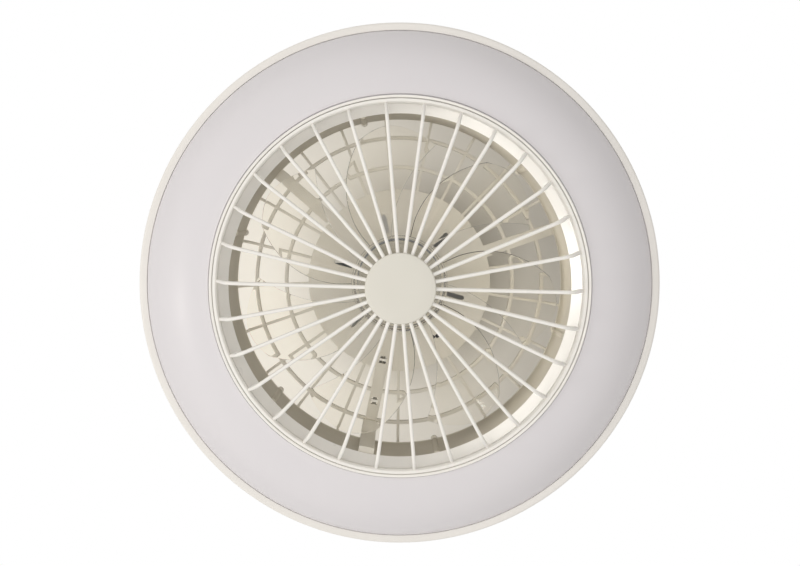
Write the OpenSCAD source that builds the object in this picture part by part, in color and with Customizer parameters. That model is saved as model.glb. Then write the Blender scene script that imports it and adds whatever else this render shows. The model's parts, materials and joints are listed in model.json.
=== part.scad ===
// Caged ceiling fan with a ring light. Millimetres, +Z up.
// The origin is the middle of the ceiling bracket's upper face, on the ceiling.
// "Drop" is a distance below the ceiling, so a point at drop d has z = -d.
// Seen from below with +X to the right, +Y points down the picture.

/* [Heights below the ceiling] */
// Height of the canopy, from the ceiling to the centre plate of the rear guard
canopy_h = 50; // [44:1:70]
// Thickness of the rear guard's centre plate
plate_t = 5; // [4:0.5:8]
// How far the rear guard's outer ring lies below its centre plate
guard_dish = 20; // [12:1:30]
// Height of the cylindrical drum that the blades turn in
drum_h = 58; // [52:1:75]
// Drop of the light ring's rim below the top of the drum
rim_below_drum = 25; // [20:1:34]
// Height of the funnel below the drum, where the duct widens
funnel_h = 18; // [14:1:26]
// Depth of the front grille below the funnel's mouth
grille_depth = 32; // [24:1:45]

/* [Ceiling bracket and canopy] */
// Width of the bracket's strap
strap_w = 32; // [26:1:40]
// Thickness of the bracket's steel
strap_t = 2; // [1.5:0.5:3]
// Distance between the two slots for the ceiling screws
ceiling_slot_spacing = 84; // [60:1:110]
// Width of each ceiling screw slot
ceiling_slot_w = 5.5; // [4.5:0.5:7]
// Length of each ceiling screw slot, end to end
ceiling_slot_l = 12; // [9:1:18]
// Diameter of the hole for the house cable
cable_hole_d = 16; // [10:1:22]
// Height of the turned-down tabs that carry the canopy
tab_h = 17; // [15:1:22]
// Width of the turned-down tabs
tab_w = 20; // [14:1:28]
// Outer diameter of the canopy
canopy_d = 199; // [185:1:215]
// Wall of the canopy
canopy_wall = 2; // [1.5:0.5:3]
// Width of the canopy's inner flange, which the guard is screwed to
canopy_flange_w = 15; // [12:1:18]

/* [Rear guard] */
// Radius of the inner of the two guard rings
inner_ring_r = 124.5; // [118:0.5:132]
// How far the outer of the two guard rings lies inside the drum's wall
outer_ring_inset = 18; // [17:0.5:26]
// Width of the guard's rings
guard_ring_w = 4; // [3:0.5:6]
// Width of the guard's ribs
rib_w = 3; // [2:0.5:5]
// Thickness of the guard's ribs and rings
guard_t = 4; // [3:0.5:5]
// Width of the three arms
arm_w = 13; // [11:0.5:16]
// Number of ribs between two arms
ribs_per_sector = 7; // [5:1:9]
// Number of vent slots in the centre plate
vent_count = 6; // [4:1:8]
// Distance of each vent slot's inner end from the centre
vent_start_r = 53; // [50:1:58]
// Length of each vent slot
vent_l = 21; // [14:1:24]
// Width of each vent slot
vent_w = 5; // [3:0.5:7]

/* [Drum and funnel] */
// Inner radius of the drum
duct_r = 175; // [172:0.5:177]
// Wall of the drum
drum_wall = 2.5; // [2:0.5:3]
// Width of the flange on top of the drum, outside its wall
drum_flange_w = 13; // [12:0.5:16]
// Number of screw bosses on the drum's wall
boss_count = 6; // [4:1:8]
// Radius of the screw bosses
boss_r = 3.6; // [3.2:0.1:5]
// Inner radius of the funnel's mouth
mouth_r = 183.8; // [181.5:0.2:186]
// Width of the grille's outer ring
grille_ring_w = 4.5; // [3.5:0.5:6]
// Width of the trim ridge outside the grille's ring
ridge_w = 6; // [5.5:0.5:8]

/* [Light ring] */
// Outer diameter of the whole fan
rim_d = 550; // [530:1:600]
// Width of the white rim around the diffuser
rim_w = 8.5; // [7:0.5:12]
// Wall of the light tray
tray_wall = 2; // [1.5:0.5:2.5]
// Wall of the diffuser
diffuser_wall = 2; // [1.5:0.5:3]
// How far the diffuser bulges past a straight cone
diffuser_bulge = 11; // [4:1:14]
// Number of curved light boards
board_count = 4; // [3:1:6]
// Radial width of the light boards
board_w = 42; // [30:1:50]
// Light emitters in each row on one board
chips_per_row = 18; // [10:1:22]

/* [Front grille] */
// Number of grille bars
bar_count = 30; // [24:1:36]
// Width of each grille bar
bar_w = 3.8; // [3:0.1:5]
// Depth of each grille bar
bar_t = 5.5; // [4.5:0.5:8]
// How far the bars fall from the shoulder to the middle
grille_crown = 4; // [0:0.5:8]
// How far inside the funnel's mouth the bars bend up
shoulder_inset = 23.8; // [20:0.2:34]
// Diameter of the hub cap
cap_d = 69; // [60:1:80]
// Thickness of the hub cap
cap_t = 4; // [3:0.5:6]

/* [Impeller] */
// Number of blades
blade_count = 7; // [5:1:9]
// Largest radius of the blades
blade_r = 165.4; // [150:0.2:167]
// Outer radius of the impeller's hub
hub_r = 50; // [48:0.5:52]
// Height of the impeller's hub
hub_h = 32; // [30:0.5:36]
// Thickness of the blades
blade_t = 1.8; // [1.4:0.1:2.6]
// Pitch of a blade at the hub, in degrees
root_pitch = 38; // [30:1:42]
// Pitch of a blade at its tip, in degrees
tip_pitch = 19; // [14:1:24]
// Number of stiffening ribs under the hub
hub_rib_count = 42; // [28:2:56]

/* [Motor] */
// Outer radius of the rotor bell
bell_r = 44; // [43:0.5:45]
// Wall of the rotor bell
bell_wall = 2.5; // [2:0.5:3]
// Height of the rotor bell
bell_h = 34; // [33:1:36]
// Radius of the motor base
base_r = 46; // [45:0.5:49]
// Thickness of the motor base
base_t = 6; // [5:0.5:8]
// Thickness of the rubber pad above the motor
pad_t = 2; // [1.5:0.5:4]
// Outer radius of the stator's teeth
stator_r = 36; // [35:0.5:37]
// Height of the stator core
stator_h = 14; // [10:1:16]
// Number of stator teeth and coils
tooth_count = 12; // [9:3:12]
// Number of magnets
magnet_count = 14; // [10:2:16]
// Radius of the motor shaft
shaft_r = 4; // [3.5:0.5:4.5]
// Outer radius of both ball bearings
bearing_r = 11; // [10.5:0.5:12]
// Width of both ball bearings
bearing_w = 7; // [6:0.5:8]
// Balls in each bearing
ball_count = 8; // [6:1:9]

/* [Hidden] */
$fn = 144;

// Clearances
fit_gap = 0.4;       // between pieces that slide together by hand
press_gap = 0.05;    // between pieces that are pressed together
turn_gap = 1;        // between the rotor and what stands still beside it
cut = 1;             // how far a cutting shape runs past what it cuts

// Drops of the main levels
plate_top = canopy_h;
plate_bottom = plate_top + plate_t;
drum_top = plate_bottom + guard_dish;
drum_bottom = drum_top + drum_h;
rim_drop = drum_top + rim_below_drum;
mouth_drop = drum_bottom + funnel_h;
bar_face = mouth_drop + grille_depth;
drum_out_r = duct_r + drum_wall;
drum_flange_t = 2.5;
tray_top = drum_top + drum_flange_t;
drum_flange_out = drum_out_r + drum_flange_w;
rim_r = rim_d / 2;
rim_in_r = rim_r - rim_w;
board_t = 1.6;
board_shift = 5;     // how far the light boards sit inwards of the middle of their space
board_mid_r = (drum_flange_out + rim_in_r) / 2 - board_shift;
board_in_r = board_mid_r - board_w / 2;
board_out_r = board_mid_r + board_w / 2;

// Colours
white_abs = "#F1EEE6";
cream_abs = "#DEDBD0";
opal = "#DDD9DE";
steel = "#B9BBBD";
dark = "#26272A";

// Screws: shank radius, head radius, head height
m3 = [1.5, 2.9, 1.8];
m4 = [2, 3.8, 2.4];

// The guard's arms and ribs, in order round it: [angle in degrees, width]
arm_count = 3;
sector = 360 / arm_count;
outer_ring_r = duct_r - outer_ring_inset;
lead_arm = 101.5;
arm_angles = [for (k = [0 : arm_count - 1]) lead_arm + sector * k];
rib_first = 11;
rib_step = (sector - 2 * rib_first) / (ribs_per_sector - 1);
spokes = [for (arm = arm_angles) each concat([[arm, arm_w]],
    [for (k = [0 : ribs_per_sector - 1]) [arm + rib_first + k * rib_step, rib_w]])];
boss_angle = -42.5;
vent_angle = -44;

// A ring between two radii and two drops
module ring(r_in, r_out, top, bottom) {
    translate([0, 0, -bottom]) difference() {
        cylinder(h = bottom - top, r = r_out);
        translate([0, 0, -cut]) cylinder(h = bottom - top + 2 * cut, r = r_in);
    }
}

// A solid disc between two drops
module disc(r, top, bottom) {
    translate([0, 0, -bottom]) cylinder(h = bottom - top, r = r);
}

// A block between two drops, centred on x and y
module block(size_x, size_y, top, bottom) {
    translate([-size_x / 2, -size_y / 2, -bottom]) cube([size_x, size_y, bottom - top]);
}

// A shape turned round the Z axis from points given as [radius, drop]
module turned(points) {
    rotate_extrude($fn = 180) polygon([for (p = points) [p[0], -p[1]]]);
}

// Points on an arc about [radius, drop], with angles from +R towards greater drop
function arc(centre, r, from, to, steps = 8) =
    [for (i = [0 : steps]) let (a = from + (to - from) * i / steps) centre + r * [cos(a), sin(a)]];

// Copies what follows round the Z axis
module around(count, first = 0) {
    for (k = [0 : count - 1]) rotate(first + k * 360 / count) children();
}

// A pan-head screw whose head stands on the level "seat" and whose shank goes down to "tip"
module screw(size, seat, tip) {
    disc(size[0], seat - 0.01, tip);
    difference() {
        disc(size[1], seat - size[2], seat);
        block(size[1] * 1.3, 0.7, seat - size[2] - cut, seat - size[2] + 1);
        block(0.7, size[1] * 1.3, seat - size[2] - cut, seat - size[2] + 1);
    }
}

// ---------------------------------------------------------------- ceiling bracket and canopy

canopy_r = canopy_d / 2;
canopy_in_r = canopy_r - canopy_wall;
strap_half = sqrt(canopy_in_r ^ 2 - (strap_w / 2) ^ 2) - 0.7;
side_screw_drop = 10;
canopy_flange_t = 2.5;
flange_top = canopy_h - canopy_flange_t;
flange_in_r = canopy_in_r - canopy_flange_w;
flange_screw_r = canopy_in_r - canopy_flange_w * 0.6;
flange_screw_count = 4;
flange_screw_angle = 45 + 19;
lead_r = 2.2;
lead_notch_w = 2 * lead_r + 4.6;
lead_notch_h = 2 * lead_r + 1.6;

module slot_hole(length, width, top, bottom) {
    for (side = [-1, 1]) translate([side * (length - width) / 2, 0, 0]) disc(width / 2, top, bottom);
    block(length - width, width, top, bottom);
}

module ceiling_bracket() color(steel) {
    tab_x = strap_half - strap_t;
    difference() {
        union() {
            block(2 * strap_half, strap_w, 0, strap_t);
            for (side = [0, 180]) rotate(side) translate([tab_x, -tab_w / 2, -tab_h])
                cube([strap_t, tab_w, tab_h]);
        }
        disc(cable_hole_d / 2, -cut, strap_t + cut);
        for (side = [-1, 1]) translate([side * ceiling_slot_spacing / 2, 0, 0])
            slot_hole(ceiling_slot_l, ceiling_slot_w, -cut, strap_t + cut);
        for (side = [-1, 1]) translate([side * (tab_x + strap_t / 2), 0, -side_screw_drop])
            rotate([0, 90, 0]) cylinder(h = strap_t + 2 * cut, r = m4[0] + press_gap, center = true);
    }
}

module canopy() color(white_abs) difference() {
    union() {
        ring(canopy_in_r, canopy_r, 0, canopy_h);
        ring(flange_in_r, canopy_in_r + canopy_wall / 2, flange_top, canopy_h);
    }
    for (side = [-1, 1]) translate([side * (canopy_r - canopy_wall / 2), 0, -side_screw_drop])
        rotate([0, 90, 0]) cylinder(h = canopy_wall + 2 * cut, r = m4[0] + fit_gap, center = true);
    around(flange_screw_count, flange_screw_angle) translate([flange_screw_r, 0, 0])
        disc(m3[0] + fit_gap, flange_top - cut, canopy_h + cut);
    // The light ring's lead leaves through this notch, along its arm
    rotate(lead_arm) translate([(flange_in_r + canopy_r) / 2, 0, 0])
        block(canopy_r - flange_in_r + 4, lead_notch_w, canopy_h - lead_notch_h, canopy_h + cut);
}

module canopy_screws() color(steel) for (side = [0, 180]) rotate(side)
    translate([canopy_r, 0, -side_screw_drop]) rotate([0, 90, 0]) screw(m4, 0, 10);

// ---------------------------------------------------------------- wiring inside the canopy

case_size = [80, 46];
case_at = [-12, 37];
case_wall = 1.8;
case_foot_h = 5;
case_bottom = plate_top - case_foot_h;
case_lid_t = 2;
case_top = tab_h + 2;
board_stand_h = 5;
control_board_bottom = case_bottom - case_wall - board_stand_h;
foot_x = case_size[0] / 2 - 6;
foot_y = case_size[1] / 2 - 6;

module case_corners() {
    for (sx = [-1, 1], sy = [-1, 1]) translate([sx * foot_x, sy * foot_y, 0]) children();
}

module at_case() {
    translate([case_at[0], case_at[1], 0]) children();
}

module controller_case() color("#E8E8E4") at_case() difference() {
    union() {
        difference() {
            block(case_size[0], case_size[1], case_top + case_lid_t, case_bottom);
            block(case_size[0] - 2 * case_wall, case_size[1] - 2 * case_wall,
                case_top + case_lid_t - cut, case_bottom - case_wall);
        }
        // Posts under the board, and feet that stand on the centre plate
        case_corners() disc(4, control_board_bottom, plate_top);
    }
    case_corners() disc(m3[0] + fit_gap, case_top, plate_top + cut);
    translate([-case_at[0], motor_lead_y - case_at[1], 0])
        disc(motor_lead_r + fit_gap, case_bottom - case_wall - cut, case_bottom + cut);
    // Way out for the light ring's lead
    translate([lead_exit[0] - case_at[0], case_size[1] / 2, -lead_exit_drop]) rotate([90, 0, 0])
        cylinder(h = 2 * case_wall + 2 * cut, r = lead_r + fit_gap, center = true);
}

// The lid clamps the board to the posts with four tubes
module controller_lid() color("#E8E8E4") at_case() difference() {
    union() {
        block(case_size[0], case_size[1], case_top, case_top + case_lid_t);
        ring_frame(case_size - [1, 1] * 2 * (case_wall + fit_gap), 1.5,
            case_top + case_lid_t - 0.01, case_top + case_lid_t + 3);
        case_corners() disc(3.5, case_top + case_lid_t - 0.01, control_board_bottom - board_t);
    }
    for (k = [-3 : 3]) translate([k * 7, 0, 0])
        block(2.5, case_size[1] * 0.5, case_top - cut, case_top + case_lid_t + cut);
    case_corners() disc(m3[0] + fit_gap, case_top - cut, control_board_bottom);
}

// A rectangular frame of a given outer size and wall between two drops
module ring_frame(size, wall, top, bottom) difference() {
    block(size[0], size[1], top, bottom);
    block(size[0] - 2 * wall, size[1] - 2 * wall, top - cut, bottom + cut);
}

board_size = case_size - [1, 1] * 2 * (case_wall + 1);

module control_board() color("#2F6B45") at_case() difference() {
    block(board_size[0], board_size[1], control_board_bottom - board_t, control_board_bottom);
    case_corners() disc(m3[0] + fit_gap, control_board_bottom - board_t - cut, control_board_bottom + cut);
}

// Capacitor, transformer, relay, heat sink and plug headers on the control board
module board_parts() color("#4A4C50") at_case() {
    top = control_board_bottom - board_t;
    translate([-22, 8, 0]) disc(5, top - 14, top);
    translate([-22, -6, 0]) disc(5, top - 14, top);
    translate([2, 4, 0]) block(18, 16, top - 13, top);
    translate([22, 6, 0]) block(10, 14, top - 10, top);
    translate([2, -13, 0]) block(16, 5, top - 6, top);
    translate([24, -10, 0]) block(6, 3, top - 11, top);
}

module controller_screws() color(steel) at_case()
    case_corners() screw(m3, case_top, plate_bottom - 1.5);

block_at = [15, -58];
block_size = [40, 18];
block_h = 15;
pole_count = 4;
block_screw_seat = plate_top - 5;

module terminal_block() color("#EFEFEA") translate([block_at[0], block_at[1], 0]) difference() {
    block(block_size[0], block_size[1], plate_top - block_h, plate_top);
    for (k = [0 : pole_count - 1])
        translate([(k - (pole_count - 1) / 2) * block_size[0] / pole_count, 0, 0]) {
            for (side = [-1, 1]) translate([0, side * 5, 0])
                disc(2, plate_top - block_h - cut, plate_top - block_h + 5);
            translate([0, 0, -(plate_top - block_h / 2)]) rotate([90, 0, 0])
                cylinder(h = block_size[1] + 2 * cut, r = 2, center = true);
        }
    disc(m3[1] + fit_gap, plate_top - block_h - cut, block_screw_seat);
    disc(m3[0] + fit_gap, plate_top - block_h, plate_top + cut);
}

module terminal_screw() color(steel) translate([block_at[0], block_at[1], 0])
    screw(m3, block_screw_seat, plate_bottom - 1.5);

eye_r = 2.2;
eye_at = 74.6 * [cos(55.7), sin(55.7)];

module receiver_eye() color(dark) translate([eye_at[0], eye_at[1], 0]) {
    disc(eye_r, plate_top - 0.01, plate_bottom - 0.4);
    translate([0, 0, -(plate_bottom - 0.4)]) scale([1, 1, 0.4]) intersection() {
        sphere(r = eye_r, $fn = 48);
        disc(eye_r + cut, 0, eye_r + cut);
    }
    block(11, 9, plate_top - 2.4, plate_top);
}

module guard_screws() color(steel) around(flange_screw_count, flange_screw_angle)
    translate([flange_screw_r, 0, 0]) screw(m3, flange_top, plate_bottom - 1.5);

// ---------------------------------------------------------------- rear guard

motor_lead_r = 2.4;
motor_lead_y = 27;
guard_bend = guard_dish * 0.55;
bend_start_r = duct_r - guard_bend;
lip_t = 1.6;
lip_h = 3;
guard_flange_out = drum_out_r + 3.5;
window_r = [90, 136];
window_l = 8;
window_w = 7.5;
lead_exit_r = 61.5;
lead_exit = lead_exit_r * [cos(lead_arm), sin(lead_arm)];
lead_exit_drop = case_bottom - case_wall - lead_r - 0.3;

plate_out_r = canopy_r + 0.6;
gap_foot = drum_top - guard_t - 0.5;
lug_top = gap_foot;   // the gaps' cut also trims the tops of the screw lugs
seat_gap = 0.3;

// Side view of the guard's shell between two depths above its lower face: flat from the middle,
// then round the shoulder down to the drum's inner radius. [radius, drop] points.
function shell_side(from_r, low, high, foot) = concat(
    [[from_r, plate_bottom - high]],
    arc([bend_start_r + high, plate_bottom - high + guard_bend], guard_bend, -90, 0, 6),
    [[duct_r + high, foot], [duct_r + low, foot]],
    arc([bend_start_r + low, plate_bottom - low + guard_bend], guard_bend, 0, -90, 6),
    [[from_r, plate_bottom - low]]);

// The whole shell with its centre plate and the flange that stands on the drum
module guard_shell() {
    outer = arc([bend_start_r + guard_t, plate_bottom - guard_t + guard_bend], guard_bend, -90, 0, 6);
    inner = arc([bend_start_r, plate_bottom + guard_bend], guard_bend, 0, -90, 6);
    turned(concat([[0, plate_top], [canopy_r, plate_top], [canopy_r, plate_bottom - guard_t]], outer,
        [[duct_r + guard_t, drum_top - guard_t], [guard_flange_out, drum_top - guard_t],
            [guard_flange_out, drum_top], [duct_r, drum_top]], inner, [[0, plate_bottom]]));
}

// The gap between two neighbouring spokes, from one radius to another
module spoke_gap(spoke, next, r_in, r_out) {
    half = (next[0] - spoke[0]) / 2;
    top = plate_top - cut;
    function edge(along, width, side) =
        along * [cos(half), side * sin(half)] + width / 2 * [sin(half), -side * cos(half)];
    rotate(spoke[0] + half) intersection() {
        ring(r_in, r_out, top, gap_foot);
        translate([0, 0, -gap_foot - cut]) linear_extrude(height = gap_foot - top + 2 * cut)
            polygon([edge(r_in / 2, spoke[1], -1), edge(r_out * 1.2, spoke[1], -1),
                edge(r_out * 1.2, next[1], 1), edge(r_in / 2, next[1], 1)]);
    }
}

// One upright lip of an arm's channel
module arm_lip(side) rotate([90, 0, 0])
    translate([0, 0, side * (arm_w / 2 - lip_t / 2 - 0.2)]) linear_extrude(height = lip_t, center = true)
        polygon([for (p = shell_side(canopy_r + 1.2, guard_t / 2, guard_t + lip_h, drum_top - 1))
            [p[0], -p[1]]]);

module rear_guard() color(white_abs) difference() {
    union() {
        guard_shell();
        for (a = arm_angles, side = [-1, 1]) rotate(a) arm_lip(side);
        around(boss_count, boss_angle) translate([duct_r, 0, 0])
            disc(boss_r, lug_top - cut / 2, drum_top - seat_gap);
    }
    for (k = [0 : len(spokes) - 1]) {
        next = k < len(spokes) - 1 ? spokes[k + 1] : spokes[0] + [360, 0];
        spoke_gap(spokes[k], next, plate_out_r, inner_ring_r - guard_ring_w / 2);
        spoke_gap(spokes[k], next, inner_ring_r + guard_ring_w / 2, outer_ring_r - guard_ring_w / 2);
        spoke_gap(spokes[k], next, outer_ring_r + guard_ring_w / 2, guard_flange_out + cut);
    }
    // The centre plate: vents, receiver, motor lead, motor spigot
    around(vent_count, vent_angle) translate([vent_start_r + vent_l / 2, 0, 0])
        slot_hole(vent_l, vent_w, plate_top - cut, plate_bottom + cut);
    translate([eye_at[0], eye_at[1], 0]) disc(eye_r + press_gap, plate_top - cut, plate_bottom + cut);
    translate([0, motor_lead_y, 0]) disc(motor_lead_r + fit_gap, plate_top - cut, plate_bottom + cut);
    disc(bearing_r + 1, plate_top - cut, plate_bottom + cut);
    around(4, motor_screw_angle) translate([motor_screw_r, 0, 0])
        disc(m4[0] + fit_gap, plate_top - cut, plate_bottom + cut);
    // Blind holes for the canopy's and the controller's screws
    around(flange_screw_count, flange_screw_angle) translate([flange_screw_r, 0, 0])
        disc(m3[0] + press_gap, plate_top - cut, plate_bottom - 1.2);
    at_case() case_corners() disc(m3[0] + press_gap, plate_top - cut, plate_bottom - 1.2);
    translate([block_at[0], block_at[1], 0]) disc(m3[0] + press_gap, plate_top - cut, plate_bottom - 1.2);
    // Screws into the drum's bosses
    around(boss_count, boss_angle) translate([duct_r, 0, 0])
        disc(m3[0] + fit_gap, lug_top - cut, drum_top + cut);
    // Windows through which the lead's clips are hooked
    for (r = window_r) rotate(lead_arm) translate([r, 0, 0])
        block(window_l, window_w, plate_top - cut, plate_bottom + cut);
    // The lead goes down through this slot at the end of its arm, into its cover
    rotate(lead_arm) translate([bend_start_r + 1.5, 0, 0])
        block(11, 2 * lead_r + 0.8, plate_bottom - guard_t - cut, plate_bottom + 8);
}

// Staples across the lead, with a bar below it that shows in each window
module lead_clips() color("#F4F2EC") for (r = window_r) rotate(lead_arm) translate([r, 0, 0]) {
    block(2.6, window_w, plate_bottom - 1.4, plate_bottom);
    for (side = [-1, 1]) translate([0, side * (lead_r + 0.9), 0])
        block(2.6, 1, plate_bottom - guard_t - lead_r, plate_bottom - 1.39);
}

// The lead's route in the arm's own plane: [distance along the arm, drop]. It runs on top of the
// arm, goes through it, down the drum's wall and out to the light boards.
cover_depth = 6;
cover_wall = 1.2;
cover_end_h = 9;
cover_w = arm_w + 3;
cover_start_r = bend_start_r - 7;
lead_turn = 55;      // degrees of the shoulder that the lead follows under its arm
lead_slot_up = 9;
lead_slot_down = 5;
lead_wall_r = duct_r - cover_depth / 2 + cover_wall / 2;
lead_out_drop = drum_bottom - 20;
bend_centre_at = [bend_start_r, plate_bottom + guard_bend];
led_board_drop = tray_top + tray_wall;
on_plate = plate_top - lead_r - 0.1;
on_arm = plate_bottom - guard_t - lead_r - 0.1;
lead_route = concat(
    [[lead_exit_r - 8, lead_exit_drop], [lead_exit_r + 3, lead_exit_drop],
        [flange_in_r - 6, on_plate - 0.8], [flange_in_r + 6, on_plate], [canopy_r - 3, on_plate - 0.4],
        [canopy_r + 12, on_arm], [(inner_ring_r + canopy_r + 12) / 2, on_arm], [inner_ring_r, on_arm],
        [(inner_ring_r + outer_ring_r) / 2, on_arm], [outer_ring_r, on_arm], [bend_start_r - 2, on_arm + 1.2],
        [bend_start_r + 1.6, plate_bottom - 1.6]],
    arc(bend_centre_at, lead_wall_r - bend_start_r, -lead_turn, 0, 2),
    [[lead_wall_r, (plate_bottom + lead_out_drop) / 2], [lead_wall_r, lead_out_drop - 9],
        [lead_wall_r + 0.6, lead_out_drop - 5], [duct_r + 1, lead_out_drop - 1],
        [drum_out_r + 3, lead_out_drop + 0.6], [drum_out_r + 8, lead_out_drop - 2],
        [drum_flange_out, lead_out_drop - 12], [(drum_flange_out + board_in_r) / 2 - 1, led_board_drop + 10],
        [board_in_r - 3, led_board_drop + board_t + lead_r + 0.6],
        [board_in_r + 4, led_board_drop + board_t + lead_r + 0.1]]);

// A smooth curve through the route: four steps on each stretch
function between(p, i, t) = let (
        a = p[max(i - 1, 0)], b = p[i], c = p[i + 1], d = p[min(i + 2, len(p) - 1)])
    0.5 * (2 * b + (c - a) * t + (2 * a - 5 * b + 4 * c - d) * t * t + (3 * b - a - 3 * c + d) * t * t * t);
function smooth(p, steps = 4) = concat(
    [for (i = [0 : len(p) - 2], s = [0 : steps - 1]) between(p, i, s / steps)], [p[len(p) - 1]]);

module light_lead() color("#3A3B3E") rotate(lead_arm) {
    path = smooth(lead_route);
    last = len(path) - 1;
    sides = 8;
    points = [for (i = [0 : last], s = [0 : sides - 1]) let (
            d = path[min(i + 1, last)] - path[max(i - 1, 0)],
            n = [d[1], -d[0]] / norm(d),
            a = s * 360 / sides)
        [path[i][0] + n[0] * lead_r * cos(a), lead_r * sin(a), -(path[i][1] + n[1] * lead_r * cos(a))]];
    faces = concat(
        [[for (s = [sides - 1 : -1 : 0]) s]],
        [for (i = [0 : last - 1], s = [0 : sides - 1]) let (t = (s + 1) % sides)
            [i * sides + s, i * sides + t, (i + 1) * sides + t, (i + 1) * sides + s]],
        [[for (s = [0 : sides - 1]) last * sides + s]]);
    polyhedron(points, faces, convexity = 6);
}

// Side view of the cover's space, inset from its outer faces: under the arm's end, round the
// shoulder and down the drum's wall
function cover_side(inset, foot) = concat(
    [[cover_start_r + inset, plate_bottom - inset],
        [cover_start_r + inset, plate_bottom + cover_depth - inset]],
    arc(bend_centre_at, guard_bend - cover_depth + inset, -90, 0, 5),
    [[duct_r - cover_depth + inset, foot], [duct_r + inset, foot]],
    arc(bend_centre_at, guard_bend + inset, 0, -90, 6));

module cover_shape(inset, width, foot) rotate(lead_arm) rotate([90, 0, 0])
    linear_extrude(height = width, center = true)
        polygon([for (p = cover_side(inset, foot)) [p[0], -p[1]]]);

// Hides the lead on the drum's wall; its solid lower end takes a screw from outside the drum
module lead_cover() color(white_abs) difference() {
    intersection() {
        cover_shape(0, cover_w, drum_bottom - 1);
        disc(duct_r, 0, drum_bottom);
    }
    cover_shape(cover_wall, cover_w - 2 * cover_wall, drum_bottom - 1 - cover_end_h);
    cover_screw_place() translate([0, 0, -4]) cylinder(h = 5, r = m3[0] + press_gap);
}

// Where the cover's screw goes in: along -Z here is towards the fan's middle
module cover_screw_place() rotate(lead_arm)
    translate([duct_r, 0, -(drum_bottom - 1 - cover_end_h / 2)]) rotate([0, 90, 0]) children();

module cover_screw() color(steel) cover_screw_place() screw(m3, -drum_wall, 3.5);

// ---------------------------------------------------------------- drum and light tray

screw_edge = 4.5;    // from a screw's middle to the edge of its flange
tray_screw_r = drum_flange_out - screw_edge;
air_screw_r = max(drum_out_r + screw_edge, mouth_r - 1.8);
foot_flange_out = air_screw_r + screw_edge;
air_screw_angle = boss_angle + 180 / boss_count;
drum_screw_bite = 12;
air_screw_bite = 5;

module drum() color(white_abs) difference() {
    turned([[0, drum_top], [drum_flange_out, drum_top], [drum_flange_out, tray_top], [drum_out_r, tray_top],
        [drum_out_r, drum_bottom - drum_flange_t], [foot_flange_out, drum_bottom - drum_flange_t],
        [foot_flange_out, drum_bottom], [0, drum_bottom]]);
    // The bore, which goes round the screw bosses
    difference() {
        disc(duct_r, drum_top - cut, drum_bottom + cut);
        around(boss_count, boss_angle) translate([duct_r, 0, 0])
            disc(boss_r, drum_top - 2 * cut, drum_bottom + 2 * cut);
    }
    around(boss_count, boss_angle) translate([duct_r, 0, 0])
        disc(m3[0] + press_gap, drum_top - cut, drum_top + drum_screw_bite + 1);
    around(boss_count, air_screw_angle) {
        translate([tray_screw_r, 0, 0])
            disc(m3[0] + fit_gap, drum_top - cut, drum_top + drum_flange_t + cut);
        translate([air_screw_r, 0, 0])
            disc(m3[0] + fit_gap, drum_bottom - drum_flange_t - cut, drum_bottom + cut);
    }
    // Way out for the lead, and the hole for its cover's screw
    rotate(lead_arm) translate([drum_out_r, 0, 0])
        block(4 * drum_wall, 2 * lead_r + 1.6, lead_out_drop - lead_slot_up, lead_out_drop + lead_slot_down);
    cover_screw_place() translate([0, 0, -cut])
        cylinder(h = drum_wall + 2 * cut, r = m3[0] + fit_gap);
}

module drum_screws() color(steel) around(boss_count, boss_angle)
    translate([duct_r, 0, 0]) screw(m3, lug_top, drum_top + drum_screw_bite);

tray_in_r = drum_out_r + 0.5;
tray_bend = 6;
rim_bend = 3;
upstand_h = 6;

module light_tray() color(white_abs) difference() {
    turned(concat(
        [[tray_in_r, tray_top]],
        arc([rim_r - tray_bend, tray_top + tray_bend], tray_bend, -90, 0),
        arc([rim_r - rim_bend, rim_drop - rim_bend], rim_bend, 0, 90),
        [[rim_in_r, rim_drop], [rim_in_r, rim_drop - upstand_h],
            [rim_in_r + tray_wall, rim_drop - upstand_h], [rim_in_r + tray_wall, rim_drop - tray_wall]],
        arc([rim_r - rim_bend, rim_drop - rim_bend], rim_bend - tray_wall, 90, 0),
        arc([rim_r - tray_bend, tray_top + tray_bend], tray_bend - tray_wall, 0, -90),
        [[tray_in_r, tray_top + tray_wall]]));
    around(boss_count, air_screw_angle) translate([tray_screw_r, 0, 0])
        disc(m3[0] + press_gap, tray_top - cut, tray_top + tray_wall + cut);
}

module tray_screws() color(steel) around(boss_count, air_screw_angle)
    translate([tray_screw_r, 0, 0]) screw(m3, drum_top, tray_top + tray_wall + 3);

board_gap = 1;       // degrees left free at each end of a board

module led_boards() color("#F7F7F5") around(board_count, 9) intersection() {
    ring(board_in_r, board_out_r, led_board_drop, led_board_drop + board_t);
    linear_extrude(height = rim_d, center = true) polygon(concat([[0, 0]],
        [for (i = [0 : 4]) let (a = board_gap + (360 / board_count - 2 * board_gap) * i / 4)
            2 * board_out_r * [cos(a), sin(a)]]));
}

chip = [3, 3, 1.2];
chip_rows = [0.2, 0.5, 0.8];

module led_chips() color("#F3D98B") around(board_count, 9)
    for (row = chip_rows, k = [0 : chips_per_row - 1])
        rotate((k + 0.5) * (360 / board_count) / chips_per_row)
            translate([board_in_r + row * board_w, 0, 0])
                block(chip[0], chip[1], led_board_drop + board_t, led_board_drop + board_t + chip[2]);

// ---------------------------------------------------------------- diffuser, air ring, grille

seat_drop = mouth_drop - 6;
ring_seat_r = mouth_r + grille_ring_w + 0.3;
ridge_out_r = ring_seat_r + ridge_w;
collar_r = ring_seat_r + 2;
diffuser_out = [rim_in_r - fit_gap, rim_drop];
diffuser_in = [ridge_out_r, seat_drop];

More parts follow.
